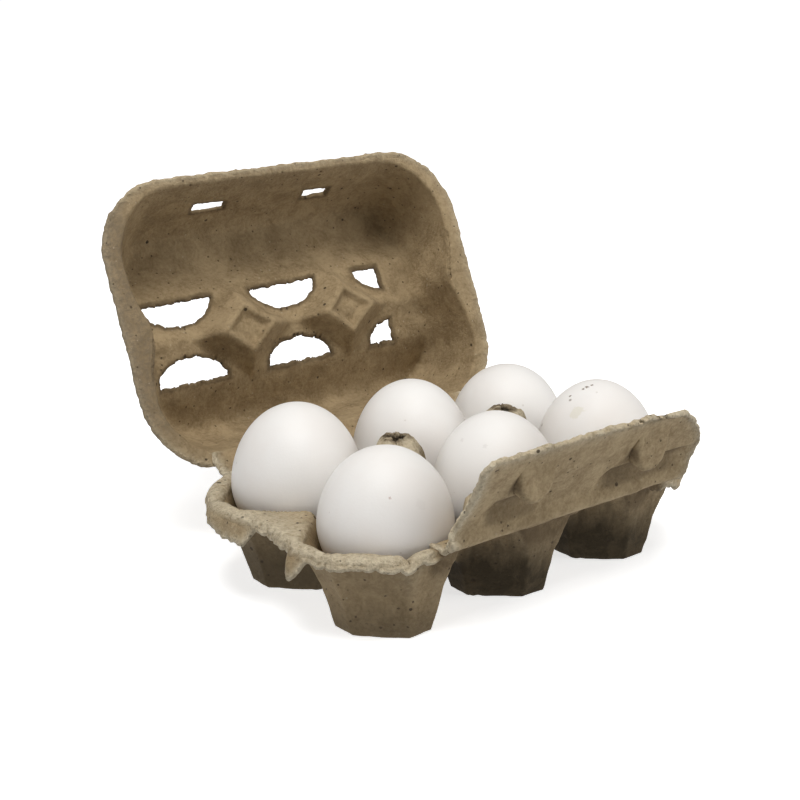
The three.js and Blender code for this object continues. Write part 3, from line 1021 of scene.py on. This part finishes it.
    def sheet(self) -> Sheet:
        """The whole sheet at the middle of its thickness, with a hole in each centre post."""
        cells: List[Sheet] = []
        for cx in (-self.pitch, 0.0, self.pitch):
            for cy in (-self.half, self.half):
                cells += self.cell(cx, cy)
        whole = Sheet.joined(cells)
        whole.points = whole.points + whole.normals() * (PULP / 2.0)

        def hole(points: Array) -> Array:
            """Distance outside the holes in the two post tops, ragged by noise."""
            x, y, z = points.T
            ragged = self.post_distance(x, y) - self.post_hole + NOISE.layers(points, [(1.7, 0.35)])
            return ragged + np.where(z < 40.0, FAR, 0.0)

        crumpled = NOISE.layers(whole.points, [(4.4, 1.1), (2.1, 0.8)]) - 0.5
        whole.points[:, 2] += crumpled * smoothstep(43.0, 47.0, whole.points[:, 2])
        whole = whole.cut(hole, 1.2)
        x, y, z = whole.points.T
        frayed = np.where(z > self.post_torn_from, 1.0 + 0.25 * self.post_distance(x, y), FAR)
        whole.edge_gap = np.minimum(whole.edge_gap, frayed)
        return whole

    def tears_and_fold_shade(self, thick: Thick) -> None:
        """Marks where the pulp is torn, and paints shade into the fold.

        The lip is torn most at its edge, and the post tops all over. The fold in front of the flap
        is unbroken and darkened with painted shade.

        Args:
            thick: Mesh about the tray's middle, whose marks are changed.
        """
        x, y, z = thick.points.T
        inward = np.maximum(-self.rim_distance(x, y), 0.0)
        lip = 0.9 * np.exp(-inward / 12.0) * smoothstep(29.5, 31.5, z)
        tops = 0.75 * smoothstep(42.0, 47.0, z)
        folded = smoothstep(-45.0, -47.5, y) * smoothstep(52.0, 47.0, np.abs(x))
        folded = folded * smoothstep(33.5, 31.5, z)
        torn = np.maximum(np.maximum(thick.torn, lip), tops)
        thick.torn = torn * (1.0 - 0.9 * folded)
        # painted shade in the fold, carried by the cut attribute
        thick.cut = np.maximum(thick.cut, folded)

    def build(self, pulp: bpy.types.Material) -> bpy.types.Object:
        """Makes the piece.

        Args:
            pulp: Finish of the sheet.

        Returns:
            The tray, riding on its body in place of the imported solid.
        """
        thick = self.sheet().ruffled()
        self.tears_and_fold_shade(thick)
        thick.points[:, 1] += MIDDLE_Y
        thick.points[:, 2] = np.maximum(thick.points[:, 2], 0.0)
        piece = thick.piece("tray_shell")
        return placed(piece, pulp, Body.TRAY, self.nodes)


def placed(
    piece: bpy.types.Object,
    finish: bpy.types.Material,
    body: Optional[Body],
    nodes: Sequence[str] = (),
) -> bpy.types.Object:
    """Gives a piece its finish, body and the solids it stands for.

    Args:
        piece: Object at the origin.
        finish: Material.
        body: Body it rides on, or None.
        nodes: Solids that it stands for.

    Returns:
        The piece.
    """
    piece.data.materials.append(finish)
    if body is not None:
        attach(piece, body.value)
    if nodes:
        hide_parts(*nodes)
    log.info("%s: %d triangles", piece.name, len(piece.data.polygons))
    return piece


# ---------------------------------------------------------------- lid


@dataclass(frozen=True)
class Window:
    """A half-moon opening in the spine: its middle, its straight edge and its reach from there."""

    centre: float
    chord: float
    sag: float
    stop: float
    half: float = 14.9
    spread: float = 1.15

    def outside(self, x: Array, v: Array) -> Array:
        """Distance outside: the largest of the ellipse's, the straight edge's and the stop's."""
        reach = abs(self.sag)
        up = (v - self.chord) * math.copysign(1.0, self.sag)
        ring = np.hypot((x - self.centre) / self.half, up / reach) - 1.0
        return np.maximum(np.maximum(ring * reach * self.spread, -up), x - self.stop)


@dataclass(frozen=True)
class KnobSlot:
    """A slot in the front wall that a knob goes into: its middle and half-width along X."""

    centre: float
    half: float
    depth: float = 19.0
    half_height: float = 2.8
    wall: float = 92.0

    def outside(self, x: Array, v: Array, z: Array) -> Array:
        """Distance outside the slot's rectangle, or far where the front wall isn't."""
        beside = np.abs(x - self.centre) - self.half
        above = np.abs(z - self.depth) - self.half_height
        return np.where(v > self.wall, np.maximum(beside, above), FAR)


@dataclass
class Lid:
    """The upper half, standing open: two vaults, a spine with windows and post seats, two slots.

    Its shape is worked out shut, in x, distance forward from the crease and height over the rim.
    """

    hinge_y: float = 54.2
    hinge_z: float = 29.4
    open_degrees: float = 112.6
    half_x: float = 79.0
    rear: float = 4.2
    front: float = 109.0
    corner: float = 28.0
    rise: float = 6.9
    skew: float = 0.17
    skew_start: float = -0.15
    wall_steep: float = 3.4
    wall_softness: float = 14.0
    flange_front: float = 2.4
    flange_ends: float = 3.6
    flange_pinch: float = 5.0
    roof_depth: float = 33.5
    valley_depth: float = 23.4
    seat_depth: float = 13.4
    seat_hollow: float = 3.3
    seat_x: float = 23.4
    seat_size: Tuple[float, float] = (20.0, 16.0)
    spine: float = 52.6
    spine_rise: float = 1.6
    window_rows: Tuple[Tuple[float, float], ...] = ((11.5, -9.6), (-19.6, 9.6))
    window_middles: Tuple[Tuple[float, float], ...] = ((-48.2, 90.0), (0.0, 90.0), (49.6, 46.6))
    slots: Tuple[KnobSlot, ...] = (KnobSlot(-25.8, 7.0), KnobSlot(23.6, 6.1))
    field_x: float = 60.0
    field_v: float = 35.5
    cut_wear: float = 0.6
    cut_waver: Octaves = ((4.0, 0.5), (1.6, 0.35))
    rim_torn: float = 0.35
    columns: int = 66
    rows: int = 39
    rings: int = 52
    nodes: Tuple[str, ...] = ("lid",)

    @property
    def centre(self) -> float:
        """Middle of the rim from the crease."""
        return (self.rear + self.front) / 2.0

    @property
    def half_v(self) -> float:
        """Half the rim's depth from crease to front."""
        return (self.front - self.rear) / 2.0

    @property
    def windows(self) -> List[Window]:
        """The six windows, the far two cut short by their stops."""
        return [
            Window(middle, self.centre + chord, sag, stop)
            for chord, sag in self.window_rows
            for middle, stop in self.window_middles
        ]

    def flange(self, x: Array, v: Array) -> Array:
        """Width of the flat band inside the rim: narrow in front, wide and pinched at the ends."""
        end = smoothstep(45.0, 72.0, np.abs(x))
        pinch = self.flange_pinch * bell((v - 55.0) / 11.0)
        return self.flange_front + end * (self.flange_ends + pinch)

    def roof(self, x: Array, v: Array) -> Array:
        """Inside depth of the roof.

        Two vaults ease down to a valley with a low spine along its middle. Two diamonds stand up
        from the spine as seats for the posts, each with a hollow in its face.
        """
        from_spine = np.abs(v - self.spine)
        vault = smoothstep(13.0, 32.0, from_spine)
        depth = self.valley_depth + (self.roof_depth - self.valley_depth) * vault
        depth -= self.spine_rise * bell(from_spine / 5.0)
        wide, deep = self.seat_size
        diamond = np.abs(np.abs(x) - self.seat_x) / wide + from_spine / deep
        depth -= (self.valley_depth - self.seat_depth) * smoothstep(1.2, 0.5, diamond)
        return depth + self.seat_hollow * smoothstep(0.56, 0.3, diamond)

    def inside(self, x: Array, v: Array) -> Array:
        """Height over the rim: the softened least of the wall behind the flange, and the roof."""
        inset = -rounded_box(x, v - self.centre, self.half_x, self.half_v, self.corner)
        wall = np.maximum(0.0, inset - self.flange(x, v)) * self.wall_steep
        return soft_min(wall, self.roof(x, v), self.wall_softness)

    def roof_sheet(self, across: Array, along: Array) -> Sheet:
        """A level field of points over the roof.

        Args:
            across: Shares of the field's half-width, from -1 to 1.
            along: Shares of its half-depth, from -1 to 1.

        Returns:
            The roof, facing up.
        """
        a, b = np.meshgrid(across, along, indexing="ij")
        x, v = a * self.field_x, self.centre + b * self.field_v
        return Sheet.of_grid(np.stack([x, v, self.inside(x, v)], -1), np.full(x.shape, FAR))

    def wall_sheet(self, across: Array, along: Array) -> Sheet:
        """Lines from the edge of the roof's field out to the rim.

        A line ends at its share of the rim's rectangle, drawn in at a corner to the corner's
        circle. Points lie evenly by the length of the wall's own profile.

        Args:
            across: The roof's shares across.
            along: The roof's shares along.

        Returns:
            The wall and flange, facing as the roof does.
        """
        side_v, side_x = np.ones(len(along) - 1), np.ones(len(across) - 1)
        a = np.concatenate([across[:-1], side_v, across[:0:-1], -side_v])
        b = np.concatenate([-side_x, along[:-1], side_x, along[:0:-1]])
        flat_x, flat_v = self.half_x - self.corner, self.half_v - self.corner
        ex, ev = a * self.half_x, b * self.half_v
        mx, mv = np.clip(ex, -flat_x, flat_x), np.clip(ev, -flat_v, flat_v)
        size = np.maximum(np.hypot(ex - mx, ev - mv), 1e-9)
        ex, ev = mx + (ex - mx) * self.corner / size, mv + (ev - mv) * self.corner / size
        ix, iv = a * self.field_x, b * self.field_v

        def outward(share: Array) -> Tuple[Array, Array, Array]:
            """Points at these shares of the way out on every line."""
            x = ix[:, None] + (ex - ix)[:, None] * share
            v = self.centre + iv[:, None] + (ev - iv)[:, None] * share
            return x, v, self.inside(x, v)

        fine = np.broadcast_to(np.linspace(0.0, 1.0, PROFILE_STEPS), (len(a), PROFILE_STEPS))
        steps = [np.diff(part, axis=1) for part in outward(fine)]
        x, v, z = outward(evenly(fine, steps, self.rings))
        gap = -rounded_box(x, v - self.centre, self.half_x, self.half_v, self.corner)
        wall = Sheet.of_grid(np.stack([x, v, z], -1), np.maximum(gap, 0.0), closed=True)
        wall.triangles = wall.triangles[:, ::-1]
        return wall

    def opening(self, points: Array) -> Array:
        """Distance outside every window and slot, with worn edges ragged by noise."""
        x, v, z = points.T
        gaps = [window.outside(x, v) for window in self.windows]
        gaps += [slot.outside(x, v, z) for slot in self.slots]
        return np.min(gaps, axis=0) - self.cut_wear + NOISE.layers(points, self.cut_waver)

    def sheet(self) -> Sheet:
        """The shut lid at the middle of its thickness, with its windows and slots cut."""
        across = np.linspace(-1.0, 1.0, 2 * self.columns + 1)
        along = np.linspace(-1.0, 1.0, 2 * self.rows + 1)
        whole = Sheet.joined([self.roof_sheet(across, along), self.wall_sheet(across, along)])
        whole.points = whole.points + whole.normals() * (PULP / 2.0)
        return whole.cut(self.opening, 1.3)

    def opened(self, points: Array) -> Array:
        """Shut points leaned along X, lifted to the crease's frame and turned back about it."""
        x = points[:, 0] + self.skew * points[:, 2] + self.skew_start
        y, z = -points[:, 1], points[:, 2] + self.rise
        turn = math.radians(-self.open_degrees)
        c, s = math.cos(turn), math.sin(turn)
        turned_y = self.hinge_y + MIDDLE_Y + c * y - s * z
        return np.stack([x, turned_y, self.hinge_z + s * y + c * z], -1)

    def build(self, pulp: bpy.types.Material) -> bpy.types.Object:
        """Makes the piece.

        Args:
            pulp: Finish of the sheet.

        Returns:
            The lid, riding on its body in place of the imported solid.
        """
        thick = self.sheet().ruffled()
        thick.torn *= self.rim_torn
        thick.points = self.opened(thick.points)
        thick.triangles = thick.triangles[:, ::-1]
        return placed(thick.piece("lid_shell"), pulp, Body.LID, self.nodes)


# ---------------------------------------------------------------- flap


@dataclass(frozen=True)
class Knob:
    """A closing knob, a tongue with a round lower end, between two pockets.

    Its middle lies along X, its end and the pockets' upper edge up the flap, and near and far are
    the ends of the pockets along X. Half is its half-width, and it rises from its root.
    """

    centre: float
    end: float
    pocket: float
    near: float
    far: float
    half: float = 6.6
    root: float = 30.5

    def beside(self, x: Array) -> Array:
        """1 along the pockets, easing to 0 at their ends."""
        return smoothstep(self.near, self.near + 9.0, x) * smoothstep(self.far, self.far - 14.0, x)

    def edge(self, x: Array) -> Array:
        """Height of the pockets' upper edge, which falls towards its near end."""
        return self.pocket - 7.0 * smoothstep(self.near + 7.0, self.near, x)

    def rise(self, x: Array, up: Array) -> Array:
        """How far the tongue stands out, from 0 at its root and outside it to 1 at its end."""
        away = np.abs(x - self.centre)
        turn = self.end + self.half - up
        outline = np.where(turn < 0.0, away, np.hypot(away, turn)) - self.half
        wedge = np.clip((self.root - up) / (self.root - self.end), 0.0, 1.0)
        return wedge * smoothstep(0.4, -0.4, outline)


@dataclass
class Flap:
    """The closing flap: a roll along the crease, two knobs between pockets, an uneven torn top."""

    crease_y: float = -53.0
    crease_z: float = 31.5
    lean: float = 30.0
    roll: float = 2.9
    knob_rise: float = 5.4
    pocket_depth: float = 2.5
    knobs: Tuple[Knob, ...] = (
        Knob(-23.0, 19.0, 18.7, -41.0, -5.0),
        Knob(27.9, 17.0, 16.8, 8.0, 58.0),
    )
    across: int = 230
    upward: int = 84
    nodes: Tuple[str, ...] = ("flap",)
    heights: Tuple[float, ...] = (0.6, 3.5, 7.0, 11.0, 16.0, 20.0, 25.0, 30.0, 34.0, 37.5)
    left: Tuple[float, ...] = (-47.0, -48.5, -48.8, -47.6, -46.6, -46.0, -45.5, -46.0, -46.4, -44.0)
    right: Tuple[float, ...] = (50.0, 54.0, 57.5, 58.0, 57.6, 56.0, 52.0, 46.0, 40.0, 17.0)
    trim: Tuple[float, float, float] = (0.6, 0.7, 0.8)
    top_waver: Octaves = ((9.0, 0.8), (3.0, 0.5))

    def front(self, x: Array, up: Array) -> Array:
        """How far the front stands out.

        It is the roll, less a pocket with a sharp upper edge beside each knob, plus the knobs.
        """
        out = self.roll * bell((up - 4.2) / 2.7)
        for knob in self.knobs:
            edge = knob.edge(x)
            under = smoothstep(6.4, 13.0, up) * smoothstep(edge + 0.35, edge - 0.35, up)
            hollow = knob.beside(x) * under
            out = out - self.pocket_depth * hollow + self.knob_rise * knob.rise(x, up)
        return out

    def painted_recess_shade(self, x: Array, up: Array) -> Array:
        """Painted shade: along the crease, in the pockets, most under their edge, and beside each
        knob.
        """
        total = bell((up - 1.2) / 1.7)
        for knob in self.knobs:
            edge = knob.edge(x)
            under = 0.6 * bell((up - edge + 1.4) / 2.2)
            under += 0.72 * smoothstep(5.5, 8.5, up) * smoothstep(edge + 0.3, edge - 0.7, up)
            near_side = bell((x - knob.centre + knob.half + 1.0) / 1.8)
            near_side = near_side * bell((up - knob.end - 5.0) / 5.0)
            total = np.maximum(total, np.maximum(knob.beside(x) * under, 0.9 * near_side))
        return total

    def build(self, pulp: bpy.types.Material) -> bpy.types.Object:
        """Makes the piece from rows that run between the left and right outlines.

        Args:
            pulp: Finish of the sheet.

        Returns:
            The flap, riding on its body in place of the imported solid.
        """
        foot, top, side = self.trim
        up = np.linspace(self.heights[0] + foot, self.heights[-1] - top, self.upward)[:, None]
        left = np.interp(up, self.heights, self.left) + side
        right = np.interp(up, self.heights, self.right) - side
        x = left + (right - left) * np.linspace(0.0, 1.0, self.across)
        up = np.broadcast_to(up, x.shape)
        flat = np.stack([x, up, np.zeros_like(x)], -1).reshape(-1, 3)
        waver = NOISE.layers(flat, self.top_waver).reshape(x.shape)
        up = up + waver * smoothstep(24.0, 37.0, up)
        grid = np.stack([x, -self.front(x, up) + PULP / 2.0, up], -1)
        gap = np.minimum(np.minimum(x - left, right - x), self.heights[-1] - up)
        thick = Sheet.of_grid(np.swapaxes(grid, 0, 1), gap.T).ruffled()
        turn = math.radians(self.lean)
        c, s = math.cos(turn), math.sin(turn)
        x, y, z = thick.points.T
        behind = y + self.front(x, z) - PULP / 2.0
        # The "cut" attribute carries this painted shade on the front face.
        thick.cut = self.painted_recess_shade(x, z) * smoothstep(0.6, -0.4, behind)
        y, z = c * y - s * z, s * y + c * z
        thick.points = np.stack([x, y + self.crease_y + MIDDLE_Y, z + self.crease_z], -1)
        return placed(thick.piece("flap_shell"), pulp, Body.FLAP, self.nodes)


# ---------------------------------------------------------------- creases


@dataclass
class Crease:
    """A strip of soft pulp along the crease between two bodies.

    Section is its middle line in y and z. Bodies, start and end (given the same way) are not used.
    """

    name: str
    bodies: Tuple[Body, Body]
    section: Tuple[Tuple[float, float], ...]
    x_range: Tuple[float, float]
    start: Tuple[float, float]
    end: Tuple[float, float]
    across: int = 22
    along: int = 150

    def build(self, pulp: bpy.types.Material) -> bpy.types.Object:
        """Makes the strip: the section, spaced evenly and smoothed, is carried along X.

        Each smoothing gives a point half its own place and a quarter of each neighbour's.

        Args:
            pulp: Finish of the strip.

        Returns:
            The strip, fixed in the scene frame.
        """
        path = np.array(self.section)
        run = np.cumsum(np.linalg.norm(np.diff(path, axis=0), axis=1))
        run = np.concatenate([[0.0], run])
        even = np.linspace(0.0, run[-1], self.across)
        y, z = (np.interp(even, run, path[:, k]) for k in range(2))
        kernel = np.array([0.25, 0.5, 0.25])
        for _ in range(3):
            y[1:-1] = np.convolve(y, kernel, "valid")
            z[1:-1] = np.convolve(z, kernel, "valid")
        x = np.linspace(*self.x_range, self.along)[:, None]
        grid = np.stack(np.broadcast_arrays(x, y, z), -1)
        gap = np.broadcast_to(np.minimum(x - x[0], x[-1] - x), grid.shape[:2])
        thick = Sheet.of_grid(grid, gap).ruffled()
        thick.points[:, 1] += MIDDLE_Y
        piece = thick.piece(self.name)
        placed(piece, pulp, None)
        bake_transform(piece)
        return piece


# ---------------------------------------------------------------- eggs


@dataclass
class Egg:
    """A white egg that stands in a cup, blunt end up."""

    name: str
    cup: Tuple[float, float]
    aside: Tuple[float, float]
    middle: float
    radius: float
    rise: float
    marks: Tuple[Mark, ...] = ()
    floor: float = 3.3
    taper: float = 0.31
    waver: Octaves = ((26.0, 0.16), (9.0, 0.05))
    levels: int = 97
    turns: int = 128

    def build(self) -> bpy.types.Object:
        """Makes the egg.

        The profile is half an ellipse above the girth. Below it, the radius also loses a share that
        grows as the depth to the power of 1.5, which makes the lower end pointed.

        Returns:
            The egg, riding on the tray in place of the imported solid.
        """
        drop = self.middle - self.floor
        level = np.linspace(-math.pi / 2.0, math.pi / 2.0, self.levels)
        turn = np.linspace(0.0, 2.0 * math.pi, self.turns + 1)[:-1]
        depth = np.maximum(-np.sin(level), 0.0)
        radius = self.radius * np.cos(level) * (1.0 - self.taper * depth**1.5)
        z = np.where(level < 0.0, drop, self.rise) * np.sin(level)
        lean = 1.0 - depth
        x = self.cup[0] + self.aside[0] * lean + radius * np.cos(turn)[:, None]
        y = self.cup[1] + self.aside[1] * lean + radius * np.sin(turn)[:, None]
        grid = np.stack([x, y + MIDDLE_Y, np.broadcast_to(z + self.middle, x.shape)], -1)
        whole = Sheet.joined([Sheet.of_grid(grid, np.zeros(x.shape), closed=True)])
        uneven = NOISE.layers(whole.points, self.waver)
        points = whole.points + whole.normals() * uneven[:, None]
        plain = np.zeros(len(points))
        piece = Thick(points, whole.triangles, plain, plain).piece(self.name + "_shell")
        shell = ShellFinish(self.name.replace("egg_", "eggshell_"), self.marks)
        return placed(piece, shell.material(), Body.TRAY, (self.name,))


# ---------------------------------------------------------------- studio


@dataclass(frozen=True)
class Lamp:
    """A round area light that is aimed at the carton: its place and width in metres, and watts."""

    name: str
    place: Tuple[float, float, float]
    width: float
    power: float


@dataclass
class Studio:
    """A pale floor, soft light and the camera, in metres and degrees."""

    eye: Tuple[float, float, float] = (-0.3106, -0.39885, 0.2057)
    azimuth: float = -37.89
    elevation: float = 16.96
    roll: float = -1.03
    lens: float = 66.35
    aim: Tuple[float, float, float] = (0.0, -0.01, 0.04)
    floor_colour: Colour = (0.88, 0.88, 0.88)
    floor_glow: Tuple[float, float, float, float] = (0.5, 2.2, 0.7, 1.0)
    floor_half: float = 40.0
    backdrop: Colour = (1.0, 1.0, 1.0)
    sky: Tuple[Tuple[float, float], ...] = ((0.49, 0.52), (0.51, 0.05))
    lamps: Tuple[Lamp, ...] = (
        Lamp("key", (-0.2, -0.3, 1.15), 0.8, 11.8),
        Lamp("front", (0.7, -0.95, 0.4), 0.8, 4.6),
        Lamp("left", (-1.15, 0.0, 0.5), 0.8, 3.1),
        Lamp("back", (0.35, 0.9, 0.8), 0.8, 2.0),
    )

    def camera(self) -> bpy.types.Object:
        """Makes the camera from its place, turn, tilt and roll."""
        az, el, roll = (math.radians(a) for a in (self.azimuth, self.elevation, self.roll))
        back = Vector((math.sin(az) * math.cos(el), -math.cos(az) * math.cos(el), math.sin(el)))
        level = (-back).cross(Vector((0.0, 0.0, 1.0))).normalized()
        upright = level.cross(-back).normalized()
        right = math.cos(roll) * level + math.sin(roll) * upright
        up = math.cos(roll) * upright - math.sin(roll) * level
        data = bpy.data.cameras.new("camera")
        data.lens = self.lens
        data.sensor_width = 36.0
        data.clip_start = 0.01
        camera = bpy.data.objects.new("camera", data)
        turn = Matrix((right, up, back)).transposed().to_4x4()
        camera.matrix_world = Matrix.Translation(Vector(self.eye)) @ turn
        bpy.context.scene.collection.objects.link(camera)
        bpy.context.scene.camera = camera
        return camera

    def floor_finish(self) -> bpy.types.Material:
        """A matt white that glows a little under the carton and more far away from it."""
        material = bpy.data.materials.new("floor")
        material.use_nodes = True
        tree = material.node_tree
        shader = tree.nodes["Principled BSDF"]
        shader.inputs["Base Color"].default_value = (*self.floor_colour, 1.0)
        shader.inputs["Roughness"].default_value = 0.9
        shader.inputs["Specular IOR Level"].default_value = 0.1
        shader.inputs["Emission Strength"].default_value = 1.0
        place = tree.nodes.new("ShaderNodeTexCoord")
        away = tree.nodes.new("ShaderNodeVectorMath")
        away.operation = "LENGTH"
        glow = tree.nodes.new("ShaderNodeMapRange")
        for label, setting in zip(("From Min", "From Max", "To Min", "To Max"), self.floor_glow):
            glow.inputs[label].default_value = setting
        tree.links.new(place.outputs["Object"], away.inputs[0])
        tree.links.new(away.outputs["Value"], glow.inputs["Value"])
        tree.links.new(glow.outputs["Result"], shader.inputs["Emission Color"])
        return material

    def floor(self) -> bpy.types.Object:
        """Makes the floor, a wide plain square under the feet."""
        half = self.floor_half
        mesh = bpy.data.meshes.new("floor")
        corners = [(-half, -half, 0.0), (half, -half, 0.0), (half, half, 0.0), (-half, half, 0.0)]
        mesh.from_pydata(corners, [], [(0, 1, 2, 3)])
        mesh.materials.append(self.floor_finish())
        floor = bpy.data.objects.new("floor", mesh)
        bpy.context.scene.collection.objects.link(floor)
        floor.visible_diffuse = False
        floor.visible_shadow = False
        return floor

    def light(self, lamp: Lamp) -> bpy.types.Object:
        """Adds one lamp, turned to face the carton."""
        data = bpy.data.lights.new(lamp.name, "AREA")
        data.shape = "DISK"
        data.size = lamp.width
        data.energy = lamp.power
        made = bpy.data.objects.new(lamp.name, data)
        place = Vector(lamp.place)
        turn = (Vector(self.aim) - place).to_track_quat("-Z", "Y").to_matrix().to_4x4()
        made.matrix_world = Matrix.Translation(place) @ turn
        bpy.context.scene.collection.objects.link(made)
        return made

    def surroundings(self) -> None:
        """Makes the light from all round, bright below and dim above, and a white backdrop."""
        world = bpy.data.worlds.new("surroundings")
        world.use_nodes = True
        tree = world.node_tree
        nodes, link = tree.nodes, tree.links.new
        place, part = nodes.new("ShaderNodeTexCoord"), nodes.new("ShaderNodeSeparateXYZ")
        shift, ramp = nodes.new("ShaderNodeMapRange"), nodes.new("ShaderNodeValToRGB")
        shift.inputs["From Min"].default_value = -1.0
        for stop, (share, level) in zip(ramp.color_ramp.elements, self.sky):
            stop.position = share
            stop.color = (level, level, level, 1.0)
        sky, seen = nodes["Background"], nodes.new("ShaderNodeBackground")
        sky.inputs["Strength"].default_value = 1.0
        seen.inputs["Color"].default_value = (*self.backdrop, 1.0)
        rays, either = nodes.new("ShaderNodeLightPath"), nodes.new("ShaderNodeMixShader")
        link(place.outputs["Generated"], part.inputs[0])
        link(part.outputs["Z"], shift.inputs["Value"])
        link(shift.outputs["Result"], ramp.inputs["Fac"])
        link(ramp.outputs["Color"], sky.inputs["Color"])
        link(rays.outputs["Is Camera Ray"], either.inputs[0])
        link(sky.outputs[0], either.inputs[1])
        link(seen.outputs[0], either.inputs[2])
        link(either.outputs[0], nodes["World Output"].inputs["Surface"])
        bpy.context.scene.world = world
        bpy.context.scene.view_settings.view_transform = "Standard"

    def build(self) -> None:
        """Makes the camera, the floor and the lights."""
        self.camera()
        self.floor()
        for lamp in self.lamps:
            self.light(lamp)
        self.surroundings()
        log.info("studio: camera, floor and %d lights", len(self.lamps))


BROWN: Colour = (0.16, 0.1, 0.05)
STRAW: Colour = (0.62, 0.57, 0.36)
GREY: Colour = (0.5, 0.46, 0.42)
RUST: Colour = (0.5, 0.36, 0.31)

# A paler copy of the pulp: painted light that makes the flap brighter than the rest.
PALER_FLAP_PULP = PulpFinish("flap_pulp_painted_light", dark=(0.27, 0.193, 0.102), light=(0.49, 0.375, 0.222))

FRONT_LEFT_MARKS = (
    Mark((-57.1, -67.3, 47.5), 0.38, RUST, 0.6),
    Mark((-48.7, -71.7, 44.5), 1.7, GREY, 0.07),
)
FRONT_MIDDLE_MARKS = (
    Mark((-12.5, -60.0, 52.3), 0.7, GREY, 0.2),
    Mark((-14.7, -51.1, 52.6), 0.7, GREY, 0.18),
)
FRONT_RIGHT_MARKS = (
    Mark((40.0, -51.7, 59.3), 0.5, BROWN),
    Mark((41.4, -52.2, 59.8), 0.65, BROWN),
    Mark((43.1, -52.9, 60.4), 0.5, BROWN),
    Mark((36.4, -49.0, 56.9), 0.45, BROWN),
    Mark((35.1, -50.4, 56.0), 0.5, BROWN, 0.6),
    Mark((33.0, -55.9, 53.4), 2.2, STRAW, 0.26),
    Mark((31.5, -40.2, 45.2), 0.6, BROWN, 0.6),
)

EGGS = (
    Egg("egg_front_left", (-48.0, -24.0), (0.3, -0.1), 32.2, 21.9, 25.5, FRONT_LEFT_MARKS),
    Egg("egg_back_left", (-48.0, 24.0), (-0.3, 0.2), 32.8, 22.4, 28.1),
    Egg("egg_back_middle", (0.0, 24.0), (0.7, -0.6), 31.6, 21.5, 28.3),
    Egg("egg_front_middle", (0.0, -24.0), (-0.6, 0.5), 31.7, 21.6, 27.5, FRONT_MIDDLE_MARKS),
    Egg("egg_back_right", (48.0, 24.0), (-0.5, 0.3), 30.7, 21.5, 25.9),
    Egg("egg_front_right", (48.0, -24.0), (-0.8, 0.7), 32.6, 21.7, 28.3, FRONT_RIGHT_MARKS),
)

CREASES = (
    Crease(
        "lid_crease",
        (Body.TRAY, Body.LID),
        (
            (47.6, 31.8),
            (49.8, 31.6),
            (51.6, 30.6),
            (54.2, 29.4),
            (57.0, 29.3),
            (60.0, 30.4),
            (62.5, 32.3),
            (64.0, 34.6),
        ),
        (-57.5, 57.5),
        (52.6, 29.8),
        (57.2, 29.4),
    ),
    Crease(
        "flap_crease",
        (Body.TRAY, Body.FLAP),
        ((-47.2, 31.9), (-49.4, 31.7), (-51.4, 31.3), (-53.0, 31.5), (-54.6, 33.6), (-55.7, 35.8)),
        (-47.4, 51.0),
        (-52.2, 31.4),
        (-54.0, 32.6),
    ),
)


def main() -> None:
    """Builds the studio, the pulp pieces and the eggs, in that order."""
    logging.basicConfig(level=logging.INFO, format="%(name)s: %(message)s")
    Studio().build()
    pulp = PulpFinish().material()
    Tray().build(pulp)
    Lid().build(pulp)
    Flap().build(PALER_FLAP_PULP.material())
    for crease in CREASES:
        crease.build(pulp)
    for egg in EGGS:
        egg.build()


if __name__ == "__main__":
    main()
